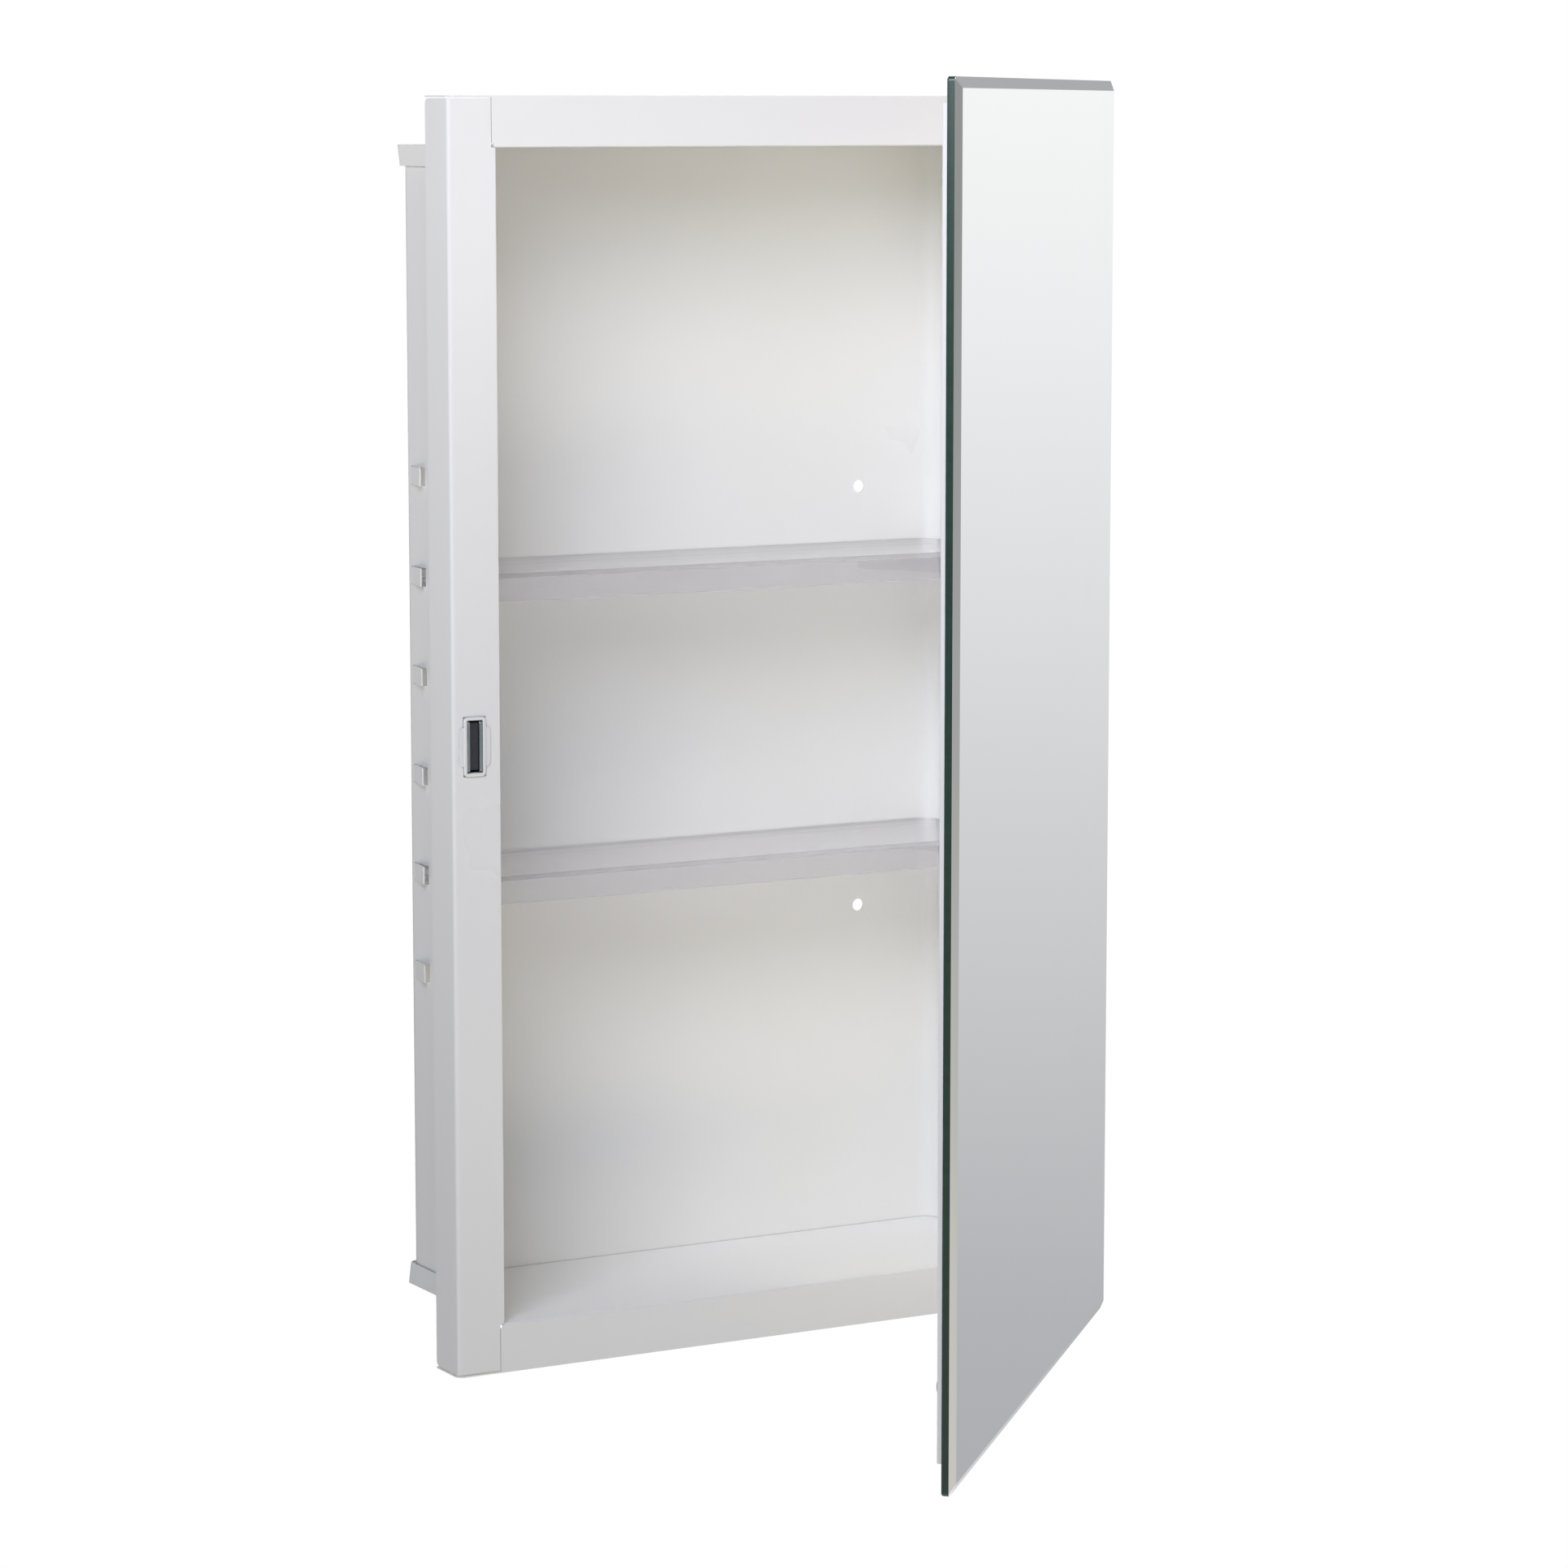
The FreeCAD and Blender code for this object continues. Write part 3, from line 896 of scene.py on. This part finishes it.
# A clean, slightly warm white with a soft sheen, as on a steel cooker.
BAKED_ENAMEL = BakedEnamel("baked_enamel_on_steel", "#F6F5F2", 0.30, drift="#F3F2EE")
# A neutral, almost lossless mirror.
SILVERED_GLASS = SilveredGlass("silvered_float_glass", "#FAFBFB", 0.0, metallic=1.0)
# A dark line of bottle green that outlines the plate.
GROUND_EDGE = GroundEdge("seamed_glass_edge", "#14402F", 0.30, ior=1.52)
# A near-black hairline round the back of the glass.
BACKING_FILM = SpeckledSolid("black_backing_paint", "#141416", 0.55, shade="#1E1E21", grain_mm=1.2)
# Chalky off-white foam, seen only from the side.
FOAM_TAPE = SpeckledSolid("white_foam_tape", "#D9D8D2", 0.85, shade="#C2C1BA", grain_mm=0.6,
                          grain_depth_mm=0.08)
# Glossy and see-through, with a breath of lavender where it is seen edge on.
CLEAR_STYRENE = ClearStyrene("moulded_clear_polystyrene", "#F5F4FB", 0.04, ior=1.59)
# A duller and greyer white than the enamel, so that the catch stands out from the stile.
CATCH_PLASTIC = MouldedPlastic("moulded_white_acetal", "#EDEDEA", 0.38, ior=1.48)
# A cool grey metal with long soft highlights.
ZINC_STEEL = ZincSteel("zinc_plated_steel", "#C6D2D4", 0.28, metallic=1.0)
# Charcoal grey with a fine sparkle.
FERRITE = SpeckledSolid("sintered_ferrite", "#3C3C41", 0.48, shade="#2B2B30")
# A small glassy drop that takes the colour of the enamel under it.
CLEAR_BUMPER = ClearBumper("clear_polyurethane", "#F2F2EE", 0.12, ior=1.49)
# A floor that almost vanishes into the white room.
STUDIO_FLOOR = LitFloor("matt_studio_floor", "#F4F4F2", 0.90, shade="#F1F1EF", grain_mm=3.0,
                        grain_depth_mm=0.01)


# ---------------------------------------------------------------- sub-assemblies
@dataclass
class SteelBody:
    """Folded steel wrapper with its two end caps."""

    nodes: tuple[str, ...] = ("cabinet_wrapper", "top_cap", "bottom_cap")

    def build(self) -> None:
        """Dresses the folded sheets, whose shapes are the frame's own."""
        for node in self.nodes:
            dress_node(node, BAKED_ENAMEL)


@dataclass
class MirrorDoor:
    """Frameless mirror on its steel pan, with backing, tapes and bumpers."""

    swing: Swing
    bevel_width: float = 5.2
    bevel_depth: float = 2.5
    corner_radius: float = 2.0
    arris: float = 0.4
    silver_gap: float = 0.05
    bumper_rim: float = 0.3

    def build(self) -> None:
        """Builds the mirror and the bumpers, and dresses the parts behind them."""
        self._mirror()
        self._bumpers()
        dress_node("mirror_backing", BACKING_FILM)
        dress_node("mirror_side_tapes", FOAM_TAPE)
        dress_node("mirror_end_tapes", FOAM_TAPE)
        dress_node("door_pan", BAKED_ENAMEL)

    def _mirror(self) -> None:
        """One plate of glass: painted back, ground edge, polished bevel and flat front.

        The profile runs from the back, round a small arris, up the edge, and up the bevel, which
        rises by its depth over its width. A face is ground up to the foot of the bevel, and shows
        the silver above that.
        """
        box = self.swing.closed_extent("mirror_glass")
        wide, thick, high = box.size
        thick -= self.silver_gap
        foot = thick - self.bevel_depth
        outline = RoundedRectangle(wide, high, (self.corner_radius,) * 4, steps=8)
        profile = filleted([
            (3.0, 0.0, 0.0),
            (0.0, 0.0, self.arris),
            (0.0, foot, 0.12),
            (self.bevel_width, thick, 0.0),
            (self.bevel_width + 0.4, thick, 0.0),
        ])
        shell = stacked(outline, profile)
        around = len(outline.points(0.0))
        middle = np.repeat((profile[:-1, 1] + profile[1:, 1]) / 2, around)
        rows = np.where(middle < foot - 0.05, 1, 0)
        shell.finishes = np.concatenate([rows, [1, 0]])
        origin = (box.centre[0], box.high[1] - self.silver_gap, box.centre[2])
        placed = shell.moved(origin, Facing.FRONT).turned(self.swing)
        piece = make_piece("mirror_plate", placed, [SILVERED_GLASS, GROUND_EDGE], 18)
        place_piece(piece, Body.DOOR, ["mirror_glass"])

    def _bumpers(self) -> None:
        """Two clear domes: a low rim, then a quarter ellipse up to the crown."""
        box = self.swing.closed_extent("door_bumpers")
        radius, tall = float(box.size[0]) / 2, float(box.size[1])
        turn = np.linspace(0, np.pi / 2, 9)
        dome = np.stack([
            radius * (1 - np.cos(turn)),
            self.bumper_rim + (tall - self.bumper_rim) * np.sin(turn),
        ], axis=-1)
        profile = np.concatenate([[[0.0, 0.0]], dome])
        shell = stacked(Circle(radius, 28), profile)
        ends = (box.low[2] + radius, box.high[2] - radius)
        shells = [
            shell.moved((box.centre[0], box.low[1], z), Facing.REAR).turned(self.swing)
            for z in ends
        ]
        piece = make_piece("door_bumper_domes", joined(shells), [CLEAR_BUMPER], 30)
        place_piece(piece, Body.DOOR, ["door_bumpers"])


@dataclass
class LongHinge:
    """Hinge as long as the door: two leaves, their pin and two rows of rivets."""

    swing: Swing
    head_radius: float = 2.6
    head_height: float = 0.5
    shank_radius: float = 1.5
    shank_length: float = 1.5
    tail_radius: float = 2.1
    frame_rivets: int = 7
    door_rivets: int = 6

    def build(self) -> None:
        """Builds the pin and the rivets, and dresses the leaves."""
        dress_node("hinge_frame_leaf", BAKED_ENAMEL)
        dress_node("hinge_door_leaf", BAKED_ENAMEL)
        self._pin()
        box = extent_of("frame_leaf_rivets")
        shells = self._rivets(box, self.frame_rivets, Facing.FRONT)
        piece = make_piece("frame_rivet_row", joined(shells), [ZINC_STEEL], 35)
        place_piece(piece, Body.CABINET, ["frame_leaf_rivets"])
        box = self.swing.closed_extent("door_leaf_rivets")
        shells = [s.turned(self.swing) for s in self._rivets(box, self.door_rivets, Facing.REAR)]
        piece = make_piece("door_rivet_row", joined(shells), [ZINC_STEEL], 35)
        place_piece(piece, Body.DOOR, ["door_leaf_rivets"])

    def _pin(self) -> None:
        """Round pin whose ends are turned down to a small dome."""
        box = extent_of("hinge_pin")
        radius, tall = float(box.size[0]) / 2, float(box.size[2])
        profile = filleted([
            (radius - 0.1, 0.0, 0.0),
            (0.0, 0.0, 0.45),
            (0.0, tall, 0.45),
            (radius - 0.1, tall, 0.0),
        ], steps=6)
        origin = (box.centre[0], box.centre[1], box.low[2])
        shell = stacked(Circle(radius, 24), profile).moved(origin, Facing.TOP)
        owner = frame["nodes"]["hinge_pin"]["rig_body"]
        piece = make_piece("domed_hinge_pin", shell, [ZINC_STEEL], 35)
        place_piece(piece, Body(owner), ["hinge_pin"])

    def _rivets(self, box: Extent, count: int, facing: Facing) -> list[Shell]:
        """Row of rivets up a leaf.

        Args:
            box: box of the whole row.
            count: number of rivets, evenly spaced.
            facing: way that their heads face.

        Returns:
            A shell for each: a crowned head, a shank, and a tail upset behind the sheets.
        """
        length = float(box.size[1])
        seat = length - self.head_height
        blind = seat - self.shank_length
        crown = filleted([
            (self.head_radius - 0.1, length, 0.0),
            (self.head_radius * 0.45, length, 0.9),
            (0.0, seat + 0.08, 0.05),
            (0.0, seat, 0.0),
            (self.head_radius - self.shank_radius, seat, 0.0),
            (self.head_radius - self.shank_radius, blind, 0.0),
            (self.head_radius - self.tail_radius, blind, 0.3),
            (self.head_radius - self.tail_radius, 0.0, 0.5),
            (self.head_radius - 0.2, 0.0, 0.0),
        ])
        shell = stacked(Circle(self.head_radius, 24), crown)
        seat_y = box.high[1] if facing is Facing.FRONT else box.low[1]
        heights = np.linspace(box.low[2] + self.head_radius, box.high[2] - self.head_radius, count)
        return [shell.moved((box.centre[0], seat_y, z), facing) for z in heights]


@dataclass
class MagneticCatch:
    """Snap-in catch on the stile: housing, two pole plates and the magnet between them."""

    block_width: float = 12.2
    block_height: float = 30.0
    wall: float = 1.7
    floor: float = 1.6
    wing_thickness: float = 0.7
    wing_height: float = 19.6
    wing_radius: float = 2.0
    wing_root: float = 1.6
    proud: float = 1.1

    def build(self) -> None:
        """Builds the housing, the plates and the magnet."""
        self._housing()
        self._plates()
        self._magnet()

    def _housing(self) -> None:
        """Deep cup with rounded lips, and a lobe on each side that holds it to the stile.

        The cup's profile runs from its inner floor up the inside, over the lip, down the outside
        and under the back.
        """
        box = extent_of("catch_housing")
        deep = float(box.size[1])
        outline = RoundedRectangle(self.block_width, self.block_height, (2.2,) * 4, steps=5)
        profile = filleted([
            (self.wall + 1.0, self.floor, 0.0),
            (self.wall, self.floor, 0.4),
            (self.wall, deep, 0.35),
            (0.0, deep, 0.5),
            (0.0, 0.0, 0.3),
            (1.0, 0.0, 0.0),
        ])
        cup = stacked(outline, profile).moved((box.centre[0], box.high[1], box.centre[2]),
                                              Facing.FRONT)
        lobe_width = (box.size[0] - self.block_width) / 2 + self.wing_root
        lobe_line = RoundedRectangle(lobe_width, self.wing_height, (self.wing_radius,) * 4)
        lobe_profile = filleted([
            (0.6, 0.02, 0.0),
            (0.0, 0.02, 0.0),
            (0.0, self.wing_thickness, 0.12),
            (0.6, self.wing_thickness, 0.0),
        ])
        lobe = stacked(lobe_line, lobe_profile)
        face_y = box.low[1] + self.proud
        middles = (box.low[0] + lobe_width / 2, box.high[0] - lobe_width / 2)
        lobes = [lobe.moved((x, face_y, box.centre[2]), Facing.FRONT) for x in middles]
        piece = make_piece("catch_snap_housing", joined([cup, *lobes]), [CATCH_PLASTIC], 32)
        place_piece(piece, Body.CABINET, ["catch_housing"])

    def _plates(self) -> None:
        """Stamped plates: rounded corners, and edges eased by the plating."""
        for node in ("catch_plate_outer", "catch_plate_inner"):
            box = extent_of(node)
            thick, deep, tall = (float(s) for s in box.size)
            profile = filleted([
                (0.5, 0.0, 0.0),
                (0.0, 0.0, 0.25),
                (0.0, thick, 0.25),
                (0.5, thick, 0.0),
            ])
            shell = stacked(RoundedRectangle(deep, tall, (1.2,) * 4), profile)
            placed = shell.moved((box.low[0], box.centre[1], box.centre[2]), Facing.RIGHT)
            piece = make_piece(f"{node}_stamped", placed, [ZINC_STEEL], 35)
            place_piece(piece, Body.MAGNET_UNIT, [node])

    def _magnet(self) -> None:
        """Sintered block with its edges tumbled."""
        box = extent_of("catch_magnet")
        wide, deep, tall = (float(s) for s in box.size)
        profile = filleted([
            (0.8, 0.0, 0.0),
            (0.0, 0.0, 0.3),
            (0.0, deep, 0.3),
            (0.8, deep, 0.0),
        ])
        shell = stacked(RoundedRectangle(wide, tall, (0.35,) * 4), profile)
        placed = shell.moved((box.centre[0], box.high[1], box.centre[2]), Facing.FRONT)
        piece = make_piece("catch_magnet_block", placed, [FERRITE], 35)
        place_piece(piece, Body.MAGNET_UNIT, ["catch_magnet"])


@dataclass
class ClearShelf:
    """Moulded clear shelf: a plate with a front lip, end flanges and four lugs."""

    body: Body
    plate: float = 2.6
    wall: float = 2.2
    lug_reach: float = 2.1
    lug_length: float = 5.5
    lug_height: float = 4.5
    lug_fronts: tuple[float, float] = (1.6, 55.6)
    lug_drop: float = 4.8
    rise: float = 5.5  # top of the shelf above the middle of its window
    sill_gap: float = 0.1
    rear_radius: float = 10.0
    front_radius: float = 1.6
    rear_skirt: float = 0.5
    edge: float = 0.45

    def build(self) -> None:
        """Builds the tray and its lugs as one piece."""
        node = self.body.value
        box = extent_of(node)
        shells = [self._tray(box), *self._lugs(box)]
        piece = make_piece(f"{node}_clear", joined(shells), [CLEAR_STYRENE], 40)
        place_piece(piece, self.body, [node])

    def _tray(self, box: Extent) -> Shell:
        """Plate and skirt as one surface.

        The profile runs from the middle of the top, over a rounded edge, down the outside of the
        skirt, under it, up its inside and in under the plate. The skirt's depth is full along the
        front and the ends and falls to a fraction of a millimetre round the rear corners.

        Args:
            box: box of the CAD shelf.

        Returns:
            The shell.
        """
        wide = float(box.size[0]) - 2 * self.lug_reach
        deep, tall = float(box.size[1]), float(box.size[2])
        radii = (self.rear_radius, self.rear_radius, self.front_radius, self.front_radius)
        outline = RoundedRectangle(wide, deep, radii, steps=10, sides=10)
        rim = outline.points(0.0)
        skirt_end = deep / 2 - self.rear_radius + 0.5
        skirt = np.where(rim[:, 1] > skirt_end, self.plate + self.rear_skirt, tall)
        over = filleted([(4.0, 0.0, 0.0), (0.0, 0.0, self.edge), (0.0, -1.0, 0.0)])
        under = filleted([
            (0.0, -1.0, 0.0),
            (0.0, 0.0, self.edge),
            (self.wall, 0.0, self.edge),
            (self.wall, -1.0, 0.0),
        ])
        inside = filleted([
            (self.wall, 1.0, 0.0),
            (self.wall, 0.0, 0.4),
            (6.0, 0.0, 0.0),
        ])
        profile = np.concatenate([over[:-1], under[1:-1], inside[1:]])
        top, low = len(over) - 1, len(under) - 2
        lift = np.broadcast_to(profile[:, 1:2], (len(profile), len(rim))).copy()
        rows = slice(top, top + low)
        lift[rows] = -skirt - lift[rows]
        lift[top + low:] = -self.plate - lift[top + low:]
        shell = stacked(outline, profile, lift)
        return shell.moved((box.centre[0], box.centre[1], box.high[2]), Facing.TOP)

    def _lugs(self, box: Extent) -> list[Shell]:
        """Four rounded lugs on the ends, which sit in the windows of the walls.

        Args:
            box: box of the CAD shelf.

        Returns:
            A shell for each lug.
        """
        outline = RoundedRectangle(self.lug_length, self.lug_height, (0.6,) * 4, steps=3)
        profile = filleted([
            (0.5, 0.02, 0.0),
            (0.0, 0.02, 0.0),
            (0.0, self.lug_reach, 0.35),
            (0.8, self.lug_reach, 0.0),
        ], steps=3)
        lug = stacked(outline, profile)
        sill = box.high[2] - self.rise - self.lug_drop
        z = sill + self.sill_gap + self.lug_height / 2
        lugs = []
        for facing, x in ((Facing.RIGHT, box.high[0]), (Facing.LEFT, box.low[0])):
            wall_x = x - facing.value[2][0] * self.lug_reach
            for front in self.lug_fronts:
                y = box.low[1] + front + self.lug_length / 2
                lugs.append(lug.moved((wall_x, y, z), facing))
        return lugs


# ---------------------------------------------------------------- studio
class Reach(Enum):
    """What a softbox acts on: everything, or only soft shading and never a mirrored image."""

    ALL = (True, True)
    SHADING = (True, False)


@dataclass(frozen=True)
class Softbox:
    """Soft flat light, by its place, the point that it faces and its two sides, in millimetres."""

    name: str
    at: tuple[float, float, float]
    toward: tuple[float, float, float]
    sides: tuple[float, float]
    watts: float
    colour: str = "#FFFFFF"
    reach: Reach = Reach.ALL

    def build(self) -> None:
        """Adds the light to the scene; the eye never sees the softbox itself."""
        data = bpy.data.lights.new(self.name, "AREA")
        data.shape = "RECTANGLE"
        data.size, data.size_y = (side * MM for side in self.sides)
        data.energy = self.watts
        data.color = linear(self.colour)[:3]
        lamp = bpy.data.objects.new(self.name, data)
        lamp.location = Vector(self.at) * MM
        aim = (Vector(self.toward) - Vector(self.at)).to_track_quat("-Z", "Y")
        lamp.rotation_euler = aim.to_euler()
        lamp.visible_camera = False
        lamp.visible_diffuse, lamp.visible_glossy = self.reach.value
        bpy.context.scene.collection.objects.link(lamp)


@dataclass
class Studio:
    """Camera, soft lights, a pale floor and a white room.

    The room has a fill that lights the object, mostly from the pale ground, and cards that only
    mirror in it: rear behind the cabinet and front before it. Each is a list of heights, as the
    sine of the elevation, with the colour there. The opening fill stands for the light that a
    bright room sends into the cabinet.
    """

    camera_mm: tuple[float, float, float] = (-1247.996, -2340.906, 317.656)
    yaw_deg: float = -29.305
    pitch_deg: float = -7.698
    lens: float = 114.58
    floor_drop: float = 600.0
    floor_radius: float = 1300.0
    softboxes: tuple[Softbox, ...] = (
        Softbox("key_softbox", (-950, -1050, 900), (0, 0, 150), (850, 850), 18.8, "#EBEFFF"),
        Softbox("top_rail_softbox", (460, -520, 700), (150, -111, 320), (350, 350), 2.3, "#FFF8F2"),
        Softbox("opening_fill", (75, -114, 2.5), (75, 0, 2.5), (130, 580), 0.066, "#FFF9DC",
                Reach.SHADING),
        Softbox("rear_softbox", (900, 1300, 700), (0, 0, 0), (900, 900), 12.0, "#FFFFFF",
                Reach.SHADING),
    )
    fill_strength: float = 1.9
    fill: tuple[tuple[float, str], ...] = (
        (-0.52, "#FFF6E6"),
        (-0.48, "#1E3850"),
        (-0.02, "#1E3850"),
        (0.02, "#000000"),
    )
    rear: tuple[tuple[float, str], ...] = (
        (-0.36, "#DCDDDF"),
        (-0.27, "#AEAFB3"),
        (-0.235, "#B4B5B8"),
        (-0.14, "#D1D2D4"),
        (-0.042, "#EEEEEF"),
        (0.01, "#F8F8F8"),
        (0.06, "#F4F4F4"),
        (0.13, "#ABACAE"),
    )
    front: tuple[tuple[float, str], ...] = (
        (-0.36, "#CFCDC8"),
        (-0.235, "#C3C1BB"),
        (-0.125, "#A6A6A5"),
        (0.0, "#939594"),
        (0.40, "#A8A9AA"),
    )

    def build(self) -> None:
        """Sets the camera, the room, the lights and the floor."""
        scene = bpy.context.scene
        scene.view_settings.view_transform = "Standard"
        self._camera(scene)
        self._room(scene)
        self._floor()
        for softbox in self.softboxes:
            softbox.build()

    def _camera(self, scene: Any) -> None:
        """Long lens without roll or shift.

        Args:
            scene: scene that the camera looks at.
        """
        data = bpy.data.cameras.new("product_camera")
        data.lens = self.lens
        data.sensor_width = 36.0
        data.clip_end = 50.0
        camera = bpy.data.objects.new("product_camera", data)
        camera.location = Vector(self.camera_mm) * MM
        camera.rotation_euler = (
            math.radians(90 + self.pitch_deg), 0.0, math.radians(self.yaw_deg)
        )
        scene.collection.objects.link(camera)
        scene.camera = camera

    def _ramp(self, tree: Any, height: Any, levels: Sequence[tuple[float, str]]) -> Any:
        """Colour of the room by height.

        Args:
            tree: the world's node tree.
            height: socket with the upward part of the direction, from -1 to 1.
            levels: colour at each height.

        Returns:
            The colour socket.
        """
        share = add_node(
            tree,
            "ShaderNodeMapRange",
            inputs={"Value": height, "From Min": -1.0, "From Max": 1.0},
        )
        ramp = add_node(tree, "ShaderNodeValToRGB", inputs={0: share.outputs["Result"]})
        stops = ramp.color_ramp.elements
        while len(stops) < len(levels):
            stops.new(0.5)
        for stop, (level, colour) in zip(stops, levels):
            stop.position = (level + 1) / 2
            stop.color = linear(colour)
        return ramp.outputs["Color"]

    def _room(self, scene: Any) -> None:
        """White backdrop for the eye, a soft fill for light, and cards for what surfaces mirror.

        Args:
            scene: scene that gets the room as its world.
        """
        world = bpy.data.worlds.new("white_room")
        world.use_nodes = True
        tree = world.node_tree
        tree.nodes.clear()
        way = add_node(tree, "ShaderNodeTexCoord").outputs["Generated"]
        parts = add_node(tree, "ShaderNodeSeparateXYZ", inputs={0: way})
        height = parts.outputs["Z"]
        behind = add_node(
            tree,
            "ShaderNodeMapRange",
            {"interpolation_type": "SMOOTHSTEP"},
            {"Value": parts.outputs["Y"], "From Min": -0.15, "From Max": 0.25},
        )
        cards = add_node(
            tree,
            "ShaderNodeMix",
            {"data_type": "RGBA"},
            {
                0: behind.outputs["Result"],
                6: self._ramp(tree, height, self.front),
                7: self._ramp(tree, height, self.rear),
            },
        )
        fill = add_node(
            tree,
            "ShaderNodeVectorMath",
            {"operation": "SCALE"},
            {0: self._ramp(tree, height, self.fill), "Scale": self.fill_strength},
        )
        path = add_node(tree, "ShaderNodeLightPath")
        mirrored = add_node(
            tree,
            "ShaderNodeMath",
            {"operation": "MAXIMUM"},
            {0: path.outputs["Is Glossy Ray"], 1: path.outputs["Is Transmission Ray"]},
        )
        lit = add_node(
            tree,
            "ShaderNodeMix",
            {"data_type": "RGBA"},
            {
                0: mirrored.outputs["Value"],
                6: fill.outputs["Vector"],
                7: cards.outputs[2],
            },
        )
        seen = add_node(
            tree,
            "ShaderNodeMix",
            {"data_type": "RGBA"},
            {0: path.outputs["Is Camera Ray"], 6: lit.outputs[2], 7: linear("#FFFFFF")},
        )
        light = add_node(
            tree, "ShaderNodeBackground", inputs={"Color": seen.outputs[2], "Strength": 1.0}
        )
        add_node(tree, "ShaderNodeOutputWorld", inputs={"Surface": light.outputs["Background"]})
        scene.world = world

    def _floor(self) -> None:
        """Thin round floor well below the cabinet, which would hang on a wall."""
        low = float(cad_box[0].z) / MM
        profile = filleted([(40.0, -8.0, 0.0), (0.0, -8.0, 2.0), (0.0, 0.0, 2.0), (40.0, 0.0, 0.0)])
        shell = stacked(Circle(self.floor_radius, 96), profile)
        placed = shell.moved((0, 0, low - self.floor_drop), Facing.TOP)
        floor = make_piece("studio_floor", placed, [STUDIO_FLOOR], 30)
        floor.visible_diffuse = False


def main() -> None:
    """Builds the sub-assemblies and the studio."""
    logging.basicConfig(level=logging.INFO, format="%(name)s: %(message)s")
    swing = Swing.from_frame("door_hinge")
    assemblies = [
        SteelBody(),
        MirrorDoor(swing),
        LongHinge(swing),
        MagneticCatch(),
        ClearShelf(Body.UPPER_SHELF),
        ClearShelf(Body.LOWER_SHELF),
        Studio(),
    ]
    for assembly in assemblies:
        log.info("building %s", type(assembly).__name__)
        assembly.build()


if __name__ == "__main__":
    main()
